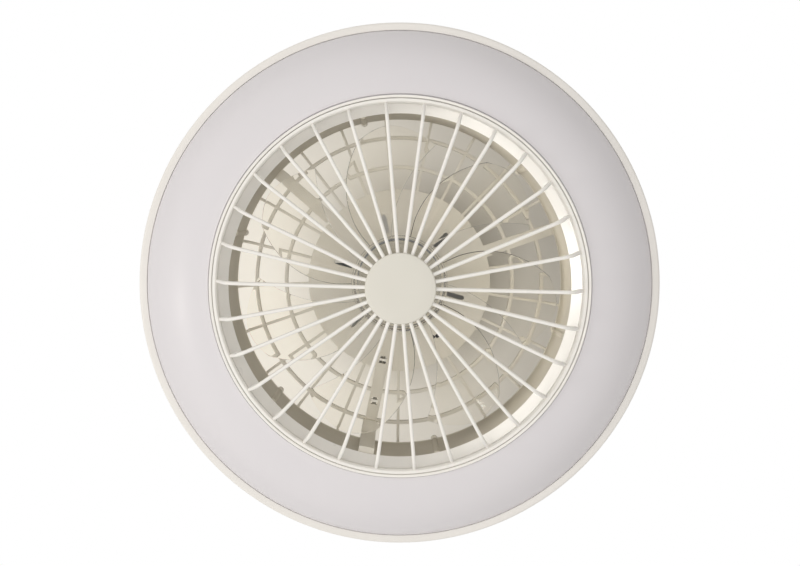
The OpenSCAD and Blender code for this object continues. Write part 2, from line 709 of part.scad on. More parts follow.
// The bulging part is an arc from the rim to the ridge: chord, radius and centre
chord = diffuser_in - diffuser_out;
bulge_r = (norm(chord) / 2) ^ 2 / (2 * diffuser_bulge) + diffuser_bulge / 2;
chord_mid = (diffuser_in + diffuser_out) / 2;
chord_up = [chord[1], -chord[0]] / norm(chord);
bulge_centre = chord_mid - (bulge_r - diffuser_bulge) * chord_up;

module diffuser() color(opal) rotate_extrude($fn = 180) union() {
    // The curved sheet, cut from a circular band
    intersection() {
        translate([bulge_centre[0], -bulge_centre[1]]) difference() {
            circle(r = bulge_r, $fn = 240);
            circle(r = bulge_r - diffuser_wall, $fn = 240);
        }
        polygon([[diffuser_in[0] - 0.01, -rim_drop], [diffuser_out[0], -rim_drop],
            [diffuser_out[0], -seat_drop - 20], [diffuser_in[0] - 0.01, -seat_drop - 20]]);
    }
    // The lip that rests on the air ring
    translate([collar_r + fit_gap, -seat_drop])
        square([ridge_out_r - collar_r - fit_gap + diffuser_wall * 0.6, diffuser_wall]);
    // The upright skirt inside the rim
    translate([diffuser_out[0] - diffuser_wall, -rim_drop - 0.01])
        square([diffuser_wall, 9]);
}

funnel_wall = 2;
rebate_drop = mouth_drop - 7;
funnel_slope = (mouth_r - duct_r) / (rebate_drop - drum_bottom);
air_boss_r = 4.2;
lug_angle = 30;
// The fine groove in the trim ridge: how far out of the seat it starts, its width and its depth
groove_start = 2.8;
groove_w = 1;
groove_deep = 1.4;
groove_lip = 0.9;    // how far the groove's edges lie above the mouth
lug_w = 10;
lug_h = 3;

// Radius of the back of the funnel's wall at a drop
function funnel_back(drop) =
    duct_r + funnel_slope * (drop - drum_bottom) + funnel_wall * sqrt(1 + funnel_slope ^ 2);

module air_ring() color(white_abs) difference() {
    union() {
        turned([[duct_r, drum_bottom], [mouth_r, rebate_drop], [ring_seat_r, rebate_drop],
            [ring_seat_r, mouth_drop - 0.8], [ring_seat_r + 0.8, mouth_drop - 0.2],
            [ring_seat_r + groove_start - 0.6, mouth_drop - 0.3],
            [ring_seat_r + groove_start, mouth_drop - groove_lip],
            [ring_seat_r + groove_start + 0.1, mouth_drop - groove_lip - groove_deep],
            [ring_seat_r + groove_start + groove_w - 0.1, mouth_drop - groove_lip - groove_deep],
            [ring_seat_r + groove_start + groove_w, mouth_drop - groove_lip - 0.3],
            [ridge_out_r - 1.2, mouth_drop - 1.7],
            [ridge_out_r, mouth_drop - 3.4], [ridge_out_r, seat_drop], [collar_r, seat_drop],
            [collar_r, rebate_drop - funnel_wall],
            [funnel_back(rebate_drop - funnel_wall), rebate_drop - funnel_wall],
            [funnel_back(drum_bottom + funnel_wall), drum_bottom + funnel_wall],
            [foot_flange_out, drum_bottom + funnel_wall], [foot_flange_out, drum_bottom]]);
        around(boss_count, air_screw_angle) translate([air_screw_r + 1, 0, 0]) intersection() {
            disc(air_boss_r, drum_bottom + 0.2, drum_bottom + air_screw_bite + funnel_wall);
            // Not through the inner face of the funnel
            translate([-air_screw_r - 1, 0, 0]) turned([[duct_r + 1, drum_bottom],
                [mouth_r + 1, rebate_drop], [mouth_r + 30, rebate_drop], [mouth_r + 30, drum_bottom]]);
        }
    }
    around(boss_count, air_screw_angle) translate([air_screw_r, 0, 0])
        disc(m3[0] + press_gap, drum_bottom - cut, drum_bottom + air_screw_bite + 0.5);
    // Three notches for the grille's bayonet lugs
    around(3, lug_angle) translate([ring_seat_r, 0, 0])
        block(2.4, lug_w + 2, rebate_drop, rebate_drop + lug_h);
}

module air_ring_screws() color(steel) around(boss_count, air_screw_angle)
    translate([air_screw_r, 0, 0]) screw(m3, drum_bottom - drum_flange_t, drum_bottom + air_screw_bite);

bar_angle = -10.45;
shoulder_r = mouth_r - shoulder_inset;
shoulder_bend = 15;
boss_ring_r = cap_d / 2 - 1;
boss_ring_w = 4;
cap_seat = bar_face;
boss_top = bar_face - bar_t - 3;

// Middle line of a bar, [radius, drop]: a shallow cone, a bend, then a straight steep leg that
// runs from the bend's edge to the grille's ring
bar_mid = bar_face - bar_t / 2;
boss_end = [boss_ring_r - boss_ring_w / 2, bar_mid];
bend_centre = [shoulder_r, bar_mid - grille_crown - shoulder_bend];
ring_meet = [mouth_r + grille_ring_w - 0.4 - 0.45 * bar_t, mouth_drop - 2.5];
to_ring = ring_meet - bend_centre;
leg_angle = 90 + atan2(-to_ring[1], to_ring[0]) - acos(shoulder_bend / norm(to_ring));
crown_angle = atan2(grille_crown, shoulder_r - boss_end[0]);
bend_steps = 6;
bar_path = concat([boss_end],
    [for (i = [0 : bend_steps]) let (t = crown_angle + (leg_angle - crown_angle) * i / bend_steps)
        bend_centre + shoulder_bend * [sin(t), cos(t)]],
    [ring_meet]);

// Cross-section of a bar, [across, outwards]: flat back, round front
bar_section = concat([[bar_w / 2, -bar_t / 2]],
    [for (a = [0 : 45 : 180]) [bar_w / 2 * cos(a), bar_t / 2 - bar_w / 2 + bar_w / 2 * sin(a)]],
    [[-bar_w / 2, -bar_t / 2]]);

module bar() {
    last = len(bar_path) - 1;
    sides = len(bar_section);
    points = [for (i = [0 : last], q = bar_section) let (
            d = bar_path[min(i + 1, last)] - bar_path[max(i - 1, 0)],
            out = [-d[1], d[0]] / norm(d),
            p = bar_path[i] + out * q[1])
        [p[0], q[0], -p[1]]];
    faces = concat(
        [[for (s = [sides - 1 : -1 : 0]) s]],
        [for (i = [0 : last - 1], s = [0 : sides - 1]) let (t = (s + 1) % sides, a = i * sides, b = a + sides)
            each [[a + s, a + t, b + t], [a + s, b + t, b + s]]],
        [[for (s = [0 : sides - 1]) last * sides + s]]);
    polyhedron(points, faces, convexity = 4);
}

module front_grille() color(white_abs) difference() {
    union() {
        around(bar_count, bar_angle) bar();
        turned([[mouth_r, rebate_drop + 0.2], [mouth_r + grille_ring_w, rebate_drop + 0.2],
            [mouth_r + grille_ring_w, mouth_drop - 0.8], [mouth_r + grille_ring_w - 0.8, mouth_drop],
            [mouth_r + 0.8, mouth_drop], [mouth_r, mouth_drop - 0.8]]);
        around(3, lug_angle) translate([mouth_r + grille_ring_w, 0, 0])
            block(2, lug_w, rebate_drop + 0.4, rebate_drop + lug_h);
        ring(boss_ring_r - boss_ring_w, boss_ring_r, boss_top, cap_seat);
        disc(boss_ring_r - boss_ring_w / 2, boss_top, boss_top + 2);
    }
    disc(cap_pin_r + 0.3, boss_top - cut, boss_top + 2 + cut);
}

cap_pin_r = 5;
skirt_out_r = boss_ring_r - boss_ring_w - fit_gap;

module hub_cap() color(cream_abs) {
    turned([[0, cap_seat], [cap_d / 2, cap_seat], [cap_d / 2, cap_seat + cap_t * 0.55],
        [cap_d / 2 - 0.8, cap_seat + cap_t * 0.78], [cap_d / 2 - 2.4, cap_seat + cap_t * 0.9],
        [cap_d / 4, cap_seat + cap_t * 0.97], [0, cap_seat + cap_t]]);
    ring(skirt_out_r - 2, skirt_out_r, boss_top + 4, cap_seat + 0.01);
    disc(cap_pin_r, boss_top, cap_seat + 0.01);
}

// ---------------------------------------------------------------- motor: the part that stands still

pad_bottom = plate_bottom + pad_t;
base_bottom = pad_bottom + base_t;
sleeve_r = bearing_r + 3.5;
upper_bearing = base_bottom + 3;
bearing_pitch = 22;
lower_bearing = upper_bearing + bearing_pitch;
sleeve_end = lower_bearing + bearing_w + 1;
shoulder_in_r = bearing_r - 1.5;
motor_screw_r = base_r - 7;
motor_screw_angle = 25;
motor_board_drop = base_bottom + 1.4;
board_peg_r = stator_r - 2;
stator_top = motor_board_drop + board_t + 6;
stator_bottom = stator_top + stator_h;

module motor_pad() color("#3B3B3B") difference() {
    disc(base_r - 1, plate_bottom, pad_bottom);
    disc(bearing_r + 1, plate_bottom - cut, pad_bottom + cut);
    around(4, motor_screw_angle) translate([motor_screw_r, 0, 0])
        disc(m4[0] + fit_gap, plate_bottom - cut, pad_bottom + cut);
    translate([0, motor_lead_y, 0]) disc(motor_lead_r + fit_gap, plate_bottom - cut, pad_bottom + cut);
}

module motor_base() color("#A9ABAD") difference() {
    union() {
        disc(base_r, pad_bottom, base_bottom);
        disc(sleeve_r, base_bottom - 0.01, sleeve_end);
        around(3, 90) translate([board_peg_r, 0, 0]) rotate(30)
            disc(2.5, base_bottom - 0.01, motor_board_drop);
    }
    disc(bearing_r + press_gap, pad_bottom - cut, upper_bearing + bearing_w);
    disc(shoulder_in_r, pad_bottom - cut, sleeve_end + cut);
    disc(bearing_r + press_gap, lower_bearing, sleeve_end + cut);
    around(4, motor_screw_angle) translate([motor_screw_r, 0, 0])
        disc(m4[0] + press_gap, pad_bottom - cut, base_bottom + cut);
    translate([0, motor_lead_y, 0]) disc(motor_lead_r + fit_gap, pad_bottom - cut, base_bottom + cut);
}

module motor_screws() color(steel) around(4, motor_screw_angle)
    translate([motor_screw_r, 0, 0]) screw(m4, plate_top, base_bottom - 0.5);

module motor_board() color("#2F6B45")
    ring(sleeve_r + fit_gap, stator_r + 3, motor_board_drop, motor_board_drop + board_t);

// Three-core lead, straight up from the motor board into the controller case
module motor_lead() color("#D8D8D4") translate([0, motor_lead_y, 0])
    disc(motor_lead_r, control_board_bottom, motor_board_drop);

tooth_w = 6;
tooth_tip_t = 2.4;
yoke_w = 5.5;

module stator_core() color("#8D9296") difference() {
    union() {
        ring(sleeve_r, sleeve_r + yoke_w, stator_top, stator_bottom);
        around(tooth_count) translate([(sleeve_r + 2 + stator_r - 1) / 2, 0, 0])
            block(stator_r - 1 - sleeve_r - 2, tooth_w, stator_top, stator_bottom);
        intersection() {
            ring(stator_r - tooth_tip_t, stator_r, stator_top, stator_bottom);
            around(tooth_count) translate([stator_r, 0, 0])
                block(12, stator_r * PI * 2 / tooth_count - 3, stator_top, stator_bottom);
        }
    }
}

coil_t = 2.2;

// One closed coil of wire round each tooth
module stator_coils() color("#B87333") around(tooth_count)
    translate([sleeve_r + yoke_w + 1, 0, 0]) difference() {
        length = stator_r - tooth_tip_t - 1 - (sleeve_r + yoke_w + 1);
        translate([length / 2, 0, 0])
            block(length, tooth_w + 2 * coil_t, stator_top - coil_t, stator_bottom + coil_t);
        translate([length / 2, 0, 0])
            block(length + 2, tooth_w + 0.2, stator_top - 0.1, stator_bottom + 0.1);
    }

// ---------------------------------------------------------------- ball bearings

ball_r = 1.9;
race_t = 2.6;
inner_race_r = shaft_r + press_gap;
ball_ring_r = (bearing_r + shaft_r) / 2;
bearing_tops = [upper_bearing, lower_bearing];

module ball_groove(top, clearance) translate([0, 0, -(top + bearing_w / 2)])
    rotate_extrude($fn = 96) translate([ball_ring_r, 0]) circle(r = ball_r + clearance, $fn = 32);

module bearing_outer_races() color(steel) for (top = bearing_tops) difference() {
    ring(bearing_r - race_t + 0.2, bearing_r, top, top + bearing_w);
    ball_groove(top, press_gap);
}

module bearing_inner_races() color(steel) for (top = bearing_tops) difference() {
    ring(inner_race_r, shaft_r + race_t - 0.2, top, top + bearing_w);
    ball_groove(top, 0.3);
}

module bearing_balls() color("#D5D7D9") for (top = bearing_tops) around(ball_count)
    translate([ball_ring_r, 0, -(top + bearing_w / 2)]) sphere(r = ball_r, $fn = 32);

// ---------------------------------------------------------------- motor and impeller: the rotor

bell_top = stator_top - coil_t - 1;
bell_bottom = bell_top + bell_h;
bell_floor_t = 3;
bell_boss_r = 9;
bell_boss_end = bell_bottom + 5;
hub_floor_t = 3;
hub_boss_r = 11;
hub_boss_h = 11;
hub_boss_end = bell_boss_end + hub_boss_h;
nut_h = 6;
nut_r = 8;
shaft_end = hub_boss_end + nut_h + 3;
clip_t = 0.9;
groove_r = shaft_r - 0.8;
shaft_flat = 0.8;    // depth of the flat that turns the impeller

module bearing_spacer() color(steel)
    ring(inner_race_r, shaft_r + 2, upper_bearing + bearing_w, lower_bearing);

module motor_shaft() color("#C9CBCD") difference() {
    disc(shaft_r, upper_bearing - 3, shaft_end);
    ring(groove_r, shaft_r + cut, upper_bearing - clip_t, upper_bearing);
    // Flat for the impeller
    translate([0, 2 * shaft_r - shaft_flat, 0])
        block(4 * shaft_r, 2 * shaft_r, bell_boss_end, shaft_end + cut);
}

module shaft_clip() color("#6E7073") difference() {
    ring(groove_r + press_gap, shaft_r + 2.4, upper_bearing - clip_t + 0.05, upper_bearing - 0.05);
    // Open side, by which the clip is pushed on
    translate([shaft_r + 1, 0, 0])
        block(2 * shaft_r + 1, 2 * groove_r - 1.4, upper_bearing - 2, upper_bearing + 1);
}

module rotor_bell() color("#9DA0A3") difference() {
    union() {
        disc(bell_r, bell_top, bell_bottom);
        disc(bell_boss_r, bell_bottom - 0.01, bell_boss_end);
    }
    difference() {
        disc(bell_r - bell_wall, bell_top - cut, bell_bottom - bell_floor_t);
        // The inner boss that the lower bearing stands on
        disc(shaft_r + race_t - 0.4, lower_bearing + bearing_w, bell_bottom);
    }
    disc(shaft_r + press_gap, bell_top - cut, bell_boss_end + cut);
    around(6, 15) translate([(bell_r + bell_boss_r) / 2, 0, 0])
        disc(4, bell_bottom - bell_floor_t - cut, bell_bottom + cut);
}

magnet_in_r = stator_r + turn_gap;
magnet_top = bell_top + 1.5;
magnet_bottom = stator_bottom + 2;
magnet_gap = 1.2;

module rotor_magnets() color("#55585C") around(magnet_count) intersection() {
    ring(magnet_in_r, bell_r - bell_wall - press_gap, magnet_top, magnet_bottom);
    translate([bell_r, 0, 0]) block(2 * (bell_r - magnet_in_r) + 4,
        2 * PI * magnet_in_r / magnet_count - magnet_gap, magnet_top - cut, magnet_bottom + cut);
}

hub_bottom = hub_boss_end - 1;
hub_top = hub_bottom - hub_h;
hub_wall = 2.5;
hub_floor_bottom = bell_bottom + fit_gap + 0.6 + hub_floor_t;
hub_rib_h = hub_bottom - hub_floor_bottom - 1;
hub_rib_t = 1.1;
hub_rib_in_r = 35;

// Outline of a blade, seen from below: the angle of its trailing and leading edge at radius r
blade_first_angle = 25.7;
trail_sweep = 23;    // degrees that the trailing edge falls back
trail_from_r = 63;
trail_short = 10.4;
lead_angle = 38;     // degrees from the trailing edge's root to the leading edge
lead_sweep = 19.1;   // degrees that the leading edge runs ahead
lead_from_r = 89;
function trailing(r) = trail_sweep
    * pow(max(0, r - trail_from_r) / (blade_r - trail_short - trail_from_r), 1.5);
function leading(r) = lead_angle + lead_sweep * (r - lead_from_r) / (blade_r - lead_from_r);
// The tip's radius falls towards the leading edge; v runs from trailing (0) to leading (1)
tip_peak = 0.26;
tip_fall_trail = 11;
tip_fall_lead = 15;
function tip_r(v) = blade_r - tip_fall_trail * pow(max(0, (tip_peak - v) / tip_peak), 2)
    - tip_fall_lead * pow(max(0, (v - tip_peak) / (1 - tip_peak)), 1.6);
function pitch(r) = root_pitch + (tip_pitch - root_pitch) * pow((r - hub_r) / (blade_r - hub_r), 0.8);
blade_low = 3.5;     // how far the blades' middle lies below the hub's
blade_mid = hub_bottom - hub_h / 2 + blade_low;
camber = 0.045;
blade_root_r = hub_r - hub_wall / 2;
span_steps = 12;
chord_steps = 8;

// A point on the blade: u along the span, v along the chord, side 1 below and -1 above
function blade_point(u, v, side) = let (
        r = blade_root_r + (tip_r(v) - blade_root_r) * u,
        width = leading(r) - trailing(r),
        chord = width * PI / 180 * r,
        a = trailing(r) + v * width,
        rise = (v - 0.5) * chord * tan(pitch(max(r, hub_r))),
        bow = 4 * v * (1 - v) * chord * camber,
        t = blade_t * (0.35 + 0.65 * sqrt(max(0, 4 * v * (1 - v)))) / 2,
        drop = blade_mid - rise - bow + side * t)
    [r * cos(a), r * sin(a), -drop];

module blade() {
    row = chord_steps + 1;
    layer = row * (span_steps + 1);
    points = [for (side = [-1, 1], i = [0 : span_steps], j = [0 : chord_steps])
        blade_point(i / span_steps, j / chord_steps, side)];
    function at(side, i, j) = side * layer + i * row + j;
    faces = concat(
        [for (i = [0 : span_steps - 1], j = [0 : chord_steps - 1]) each [
            [at(0, i, j), at(0, i, j + 1), at(0, i + 1, j + 1)],
            [at(0, i, j), at(0, i + 1, j + 1), at(0, i + 1, j)],
            [at(1, i, j), at(1, i + 1, j + 1), at(1, i, j + 1)],
            [at(1, i, j), at(1, i + 1, j), at(1, i + 1, j + 1)]]],
        [for (j = [0 : chord_steps - 1], i = [0, span_steps]) each i == 0
            ? [[at(0, i, j), at(1, i, j), at(1, i, j + 1)], [at(0, i, j), at(1, i, j + 1), at(0, i, j + 1)]]
            : [[at(0, i, j), at(1, i, j + 1), at(1, i, j)], [at(0, i, j), at(0, i, j + 1), at(1, i, j + 1)]]],
        [for (i = [0 : span_steps - 1], j = [0, chord_steps]) each j == 0
            ? [[at(0, i, j), at(1, i + 1, j), at(1, i, j)], [at(0, i, j), at(0, i + 1, j), at(1, i + 1, j)]]
            : [[at(0, i, j), at(1, i, j), at(1, i + 1, j)], [at(0, i, j), at(1, i + 1, j), at(0, i + 1, j)]]]);
    polyhedron(points, faces, convexity = 4);
}

module impeller() color("#DDE3E6", 0.35) {
    difference() {
        union() {
            ring(hub_r - hub_wall, hub_r, hub_top, hub_bottom);
            disc(hub_r - hub_wall / 2, hub_floor_bottom - hub_floor_t, hub_floor_bottom);
            disc(hub_boss_r, hub_floor_bottom - hub_floor_t, hub_boss_end);
            for (r = [hub_rib_in_r, (hub_rib_in_r + hub_r) / 2])
                ring(r - hub_rib_t, r, hub_floor_bottom - 0.01, hub_floor_bottom + hub_rib_h);
            around(hub_rib_count) translate([(hub_rib_in_r - 0.5 + hub_r - 1) / 2, 0, 0])
                block(hub_r - hub_rib_in_r - 0.5, hub_rib_t,
                    hub_floor_bottom - 0.01, hub_floor_bottom + hub_rib_h);
        }
        disc(bell_boss_r + fit_gap, hub_top - cut, bell_boss_end);
        disc(shaft_r + press_gap, hub_top - cut, hub_boss_end + cut);
    }
    around(blade_count, blade_first_angle) blade();
}

module impeller_nut() color("#E9E7E0") difference() {
    union() {
        disc(nut_r, hub_boss_end, hub_boss_end + nut_h);
        around(6) translate([nut_r, 0, 0]) disc(1.6, hub_boss_end, hub_boss_end + nut_h);
    }
    disc(shaft_r + press_gap, hub_boss_end - cut, hub_boss_end + nut_h + cut);
}

ceiling_bracket();
canopy();
canopy_screws();
terminal_block();
terminal_screw();
controller_case();
controller_lid();
control_board();
board_parts();
controller_screws();
receiver_eye();
guard_screws();
rear_guard();
light_lead();
lead_clips();
lead_cover();
cover_screw();
drum();
drum_screws();
light_tray();
tray_screws();
led_boards();
led_chips();
diffuser();
air_ring();
air_ring_screws();
front_grille();
hub_cap();
motor_pad();
motor_base();
motor_screws();
motor_board();
motor_lead();
stator_core();
stator_coils();
bearing_outer_races();
bearing_balls();
bearing_inner_races();
bearing_spacer();
motor_shaft();
shaft_clip();
rotor_bell();
rotor_magnets();
impeller();
impeller_nut();
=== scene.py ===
# %% [markdown]
# # A caged ceiling fan with a ring light
#
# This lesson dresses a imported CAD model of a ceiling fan. The fan is a short drum with seven clear
# blades, a cage above and a barred grille below, and round it sits a flat pan with a pale light
# ring. The CAD model already has every part in its true place. Here the parts that show get
# smooth, softly rounded meshes, and every part gets a finish.
#
# Heights are written as in the CAD source: a "drop" is a distance below the ceiling in
# millimetres, so a point at drop d has z = -d.

# %% Load the frame
import json
import math

import bmesh
import bpy
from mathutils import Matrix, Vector

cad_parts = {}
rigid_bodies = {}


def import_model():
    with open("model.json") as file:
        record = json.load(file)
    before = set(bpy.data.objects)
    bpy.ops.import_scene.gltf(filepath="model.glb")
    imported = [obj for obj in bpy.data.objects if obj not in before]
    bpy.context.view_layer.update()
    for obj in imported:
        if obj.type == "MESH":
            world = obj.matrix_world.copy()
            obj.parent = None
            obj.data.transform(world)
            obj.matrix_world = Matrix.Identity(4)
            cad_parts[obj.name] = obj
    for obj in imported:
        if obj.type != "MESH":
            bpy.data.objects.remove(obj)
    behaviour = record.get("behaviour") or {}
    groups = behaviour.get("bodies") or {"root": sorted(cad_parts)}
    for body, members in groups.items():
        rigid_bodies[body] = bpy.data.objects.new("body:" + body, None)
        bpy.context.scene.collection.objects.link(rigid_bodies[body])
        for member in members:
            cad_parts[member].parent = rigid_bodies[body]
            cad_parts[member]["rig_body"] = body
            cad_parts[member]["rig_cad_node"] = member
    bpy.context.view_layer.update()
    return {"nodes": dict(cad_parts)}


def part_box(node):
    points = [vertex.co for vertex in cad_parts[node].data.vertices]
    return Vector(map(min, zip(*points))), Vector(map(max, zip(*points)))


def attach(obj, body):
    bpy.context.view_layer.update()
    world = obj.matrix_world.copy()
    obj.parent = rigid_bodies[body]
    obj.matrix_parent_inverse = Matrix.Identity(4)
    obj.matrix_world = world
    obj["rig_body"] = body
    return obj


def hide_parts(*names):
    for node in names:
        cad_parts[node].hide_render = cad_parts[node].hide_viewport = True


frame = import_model()
nodes = frame["nodes"]
MM = 0.001

# %% [markdown]
# ## Reading sizes from the frame
#
# A round part is told by three numbers: its radius, and the drops of its top and its bottom. They
# could be typed again here, but then they would go wrong when the CAD model changes, so they are
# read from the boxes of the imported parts.

# %% Sizes of the round parts
def round_size(node):
    """Radius, top drop and bottom drop of a part that is centred on the fan's axis, in mm."""
    low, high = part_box(node)
    return [round(size / MM, 1) for size in (max(-low.x, high.x, -low.y, high.y), -high.z, -low.z)]


rim_r, tray_top, rim_drop = round_size("light_tray")
flange_r, drum_top, drum_bottom = round_size("drum")
_, _, mouth_drop = round_size("air_ring")
_, ring_top, bar_face = round_size("front_grille")
cap_r, _, cap_drop = round_size("hub_cap")
canopy_r, _, plate_top = round_size("canopy")
duct_r = 175
drum_wall = 2.5
mouth_r = 183.8
full_drop = mouth_drop + 0.2    # the mouth: the CAD's ridge is rounded and ends just short of it
print("rim", rim_r, "drum", drum_top, drum_bottom, "mouth", full_drop, "bars at drop", bar_face)

# %% [markdown]
# ## Drawing with operators
#
# Round parts are turned as on a lathe. A profile could be a curve with a Screw modifier, but a
# mesh profile that is extruded point by point and then spun gives clean quads at once. The first
# point is a small plane merged into one vertex.

# %% Start a profile
def only(obj):
    """Nothing but this object is selected, and it is the active one."""
    if bpy.context.object and bpy.context.object.mode != "OBJECT":
        bpy.ops.object.mode_set(mode="OBJECT")
    bpy.ops.object.select_all(action="DESELECT")
    if obj:
        obj.select_set(True)
        bpy.context.view_layer.objects.active = obj


def point(name, r, drop):
    """A mesh of one vertex in the plane y = 0, left in edit mode."""
    only(None)
    bpy.ops.mesh.primitive_plane_add(size=MM, location=(0, 0, 0))
    obj = bpy.context.object
    obj.name = obj.data.name = name
    bpy.ops.object.mode_set(mode="EDIT")
    bpy.ops.mesh.select_mode(type="VERT")
    bpy.ops.mesh.select_all(action="SELECT")
    bpy.ops.mesh.merge(type="CENTER")
    bpy.ops.transform.translate(value=(r * MM, 0, -drop * MM))
    return obj


# %% Select by place, close, smooth
SHARP = 32    # degrees: where two faces meet at more than this, the edge stays sharp


def pick(obj, test):
    """In edit mode, selects the vertices whose place in mm passes the test."""
    bpy.ops.mesh.select_mode(type="VERT")
    bpy.ops.mesh.select_all(action="DESELECT")
    mesh = bmesh.from_edit_mesh(obj.data)
    for vertex in mesh.verts:
        vertex.select_set(test(vertex.co / MM))
    bmesh.update_edit_mesh(obj.data)


def close_up(obj, smooth=SHARP):
    """Doubles merged, faces turned outwards, and soft shading except over sharp edges."""
    bpy.ops.mesh.select_mode(type="VERT")
    bpy.ops.mesh.select_all(action="SELECT")
    bpy.ops.mesh.remove_doubles(threshold=1e-6)
    bpy.ops.mesh.normals_make_consistent(inside=False)
    bpy.ops.object.mode_set(mode="OBJECT")
    bpy.ops.object.shade_smooth_by_angle(angle=math.radians(smooth))
    return obj


def open_edges(obj):
    """How many edges don't have exactly two faces: none on a closed part."""
    mesh = bmesh.new()
    mesh.from_mesh(obj.data)
    count = sum(1 for e in mesh.edges if len(e.link_faces) != 2)
    mesh.free()
    return count


# %% The lathe
def arc(centre, radius, start, end, steps=8):
    """Points on an arc, with angles in degrees from +radius towards greater drop."""
    turns = [math.radians(start + (end - start) * i / steps) for i in range(steps + 1)]
    return [(centre[0] + radius * math.cos(t), centre[1] + radius * math.sin(t)) for t in turns]


def lathe(name, profile, rounded=(), steps=180):
    """Turns a profile of (radius, drop) points round the fan's axis. Each item of rounded is
    (radius, drop, size): a corner of the profile that gets a small round edge."""
    obj = point(name, *profile[0])
    for (r0, d0), (r1, d1) in zip(profile, profile[1:]):
        bpy.ops.mesh.extrude_region_move(
            TRANSFORM_OT_translate={"value": ((r1 - r0) * MM, 0, (d0 - d1) * MM)})
    if profile[0][0] > 0 or profile[-1][0] > 0:
        ends = [Vector((r, 0, -d)) for r, d in (profile[0], profile[-1])]
        pick(obj, lambda p: any((p - end).length < 0.01 for end in ends))
        bpy.ops.mesh.edge_face_add()
    for r, drop, size in rounded:
        corner = Vector((r, 0, -drop))
        pick(obj, lambda p: (p - corner).length < 0.05)
        bpy.ops.mesh.bevel(offset=size * MM, segments=3, affect="VERTICES")
    bpy.ops.mesh.select_all(action="SELECT")
    bpy.ops.mesh.spin(steps=steps, angle=2 * math.pi, center=(0, 0, 0), axis=(0, 0, 1))
    close_up(obj)
    print(name, "faces", len(obj.data.polygons), "open edges", open_edges(obj))
    return obj


# %% [markdown]
# ## Bars, blocks and pins
#
# The cage's ribs and the grille's bars have one section all along, so a small plane is rounded at
# its corners and then drawn out: straight with extrude, and round a bend with spin. Blocks and
# pins are primitives whose edges are bevelled, because no moulded edge is truly sharp.

# %% A bar along the x axis
def section(name, r, drop, deep, wide, corner, segments=3, both=True):
    """The end face of a bar at radius r: deep in z, wide in y, with rounded corners. With both
    False only the lower corners are round. It is left in edit mode."""
    only(None)
    bpy.ops.mesh.primitive_plane_add(size=1, location=(r * MM, 0, -drop * MM),
                                     rotation=(0, math.pi / 2, 0))
    obj = bpy.context.object
    obj.name = obj.data.name = name
    obj.scale = (deep * MM, wide * MM, 1)
    bpy.ops.object.transform_apply(location=True, rotation=True, scale=True)
    bpy.ops.object.mode_set(mode="EDIT")
    pick(obj, lambda p: both or -p.z > drop)
    bpy.ops.mesh.bevel(offset=corner * MM, segments=segments, affect="VERTICES")
    bpy.ops.mesh.select_all(action="SELECT")
    return obj


def draw_out(r, drop):
    """Extrudes the selected end face by so much outwards and downwards, in mm."""
    bpy.ops.mesh.extrude_region_move(TRANSFORM_OT_translate={"value": (r * MM, 0, -drop * MM)})


def bend_down(centre, degrees, steps=8):
    """Spins the selected end face downwards round a bend's centre, given as (radius, drop).
    Negative degrees bend it upwards."""
    bpy.ops.mesh.spin(steps=steps, angle=math.radians(degrees), axis=(0, -1, 0),
                      center=(centre[0] * MM, 0, -centre[1] * MM))


# %% Blocks, pins and copies
def block(name, size, middle, soft=0.0):
    """A box of size (x, y, z) about its middle (x, y, drop), with bevelled edges."""
    only(None)
    x, y, drop = middle
    bpy.ops.mesh.primitive_cube_add(size=1, location=(x * MM, y * MM, -drop * MM))
    obj = bpy.context.object
    obj.name = obj.data.name = name
    obj.scale = [s * MM for s in size]
    bpy.ops.object.transform_apply(location=True, rotation=True, scale=True)
    return soften(obj, soft)


def pin(name, r, top, bottom, at=(0, 0), soft=0.0):
    """An upright cylinder between two drops, with bevelled rims."""
    only(None)
    bpy.ops.mesh.primitive_cylinder_add(
        vertices=32, radius=r * MM, depth=(bottom - top) * MM,
        location=(at[0] * MM, at[1] * MM, -(top + bottom) / 2 * MM))
    obj = bpy.context.object
    obj.name = obj.data.name = name
    bpy.ops.object.transform_apply(location=True, rotation=True, scale=True)
    return soften(obj, soft)


def soften(obj, size, limit=40):
    """Bevels the edges over the limit in degrees, with a modifier that is then applied."""
    only(obj)
    if size:
        bpy.ops.object.modifier_add(type="BEVEL")
        bevel = obj.modifiers[-1]
        bevel.width, bevel.segments = size * MM, 2
        bevel.limit_method, bevel.angle_limit = "ANGLE", math.radians(limit)
        bevel.use_clamp_overlap = True
        bpy.ops.object.modifier_apply(modifier=bevel.name)
    bpy.ops.object.shade_smooth_by_angle(angle=math.radians(SHARP))
    return obj


def turned_copies(obj, angles):
    """The object turned to each angle in degrees round the fan's axis, each copy with its own
    mesh. The object itself takes the first angle."""
    made = [obj]
    for _ in angles[1:]:
        only(obj)
        bpy.ops.object.duplicate(linked=False)
        made.append(bpy.context.object)
    for copy, angle in zip(made, angles):
        only(copy)
        copy.rotation_euler.z = math.radians(angle)
        bpy.ops.object.transform_apply(rotation=True)
    return made


def every(count, first):
    """Evenly spaced angles in degrees."""
    return [first + 360 * k / count for k in range(count)]


# %% Punches
def punch(name, size, middle_r, corner, top, bottom):
    """An upright cutter of size (x, y) with rounded corners, between two drops."""
    only(None)
    bpy.ops.mesh.primitive_plane_add(size=1, location=(middle_r * MM, 0, -bottom * MM))
    obj = bpy.context.object
    obj.name = name
    obj.scale = (size[0] * MM, size[1] * MM, 1)
    bpy.ops.object.transform_apply(location=True, rotation=True, scale=True)
    bpy.ops.object.mode_set(mode="EDIT")
    bpy.ops.mesh.select_all(action="SELECT")
    bpy.ops.mesh.bevel(offset=corner * MM, segments=6, affect="VERTICES")
    bpy.ops.mesh.select_all(action="SELECT")
    draw_out(0, top - bottom)
    return close_up(obj)


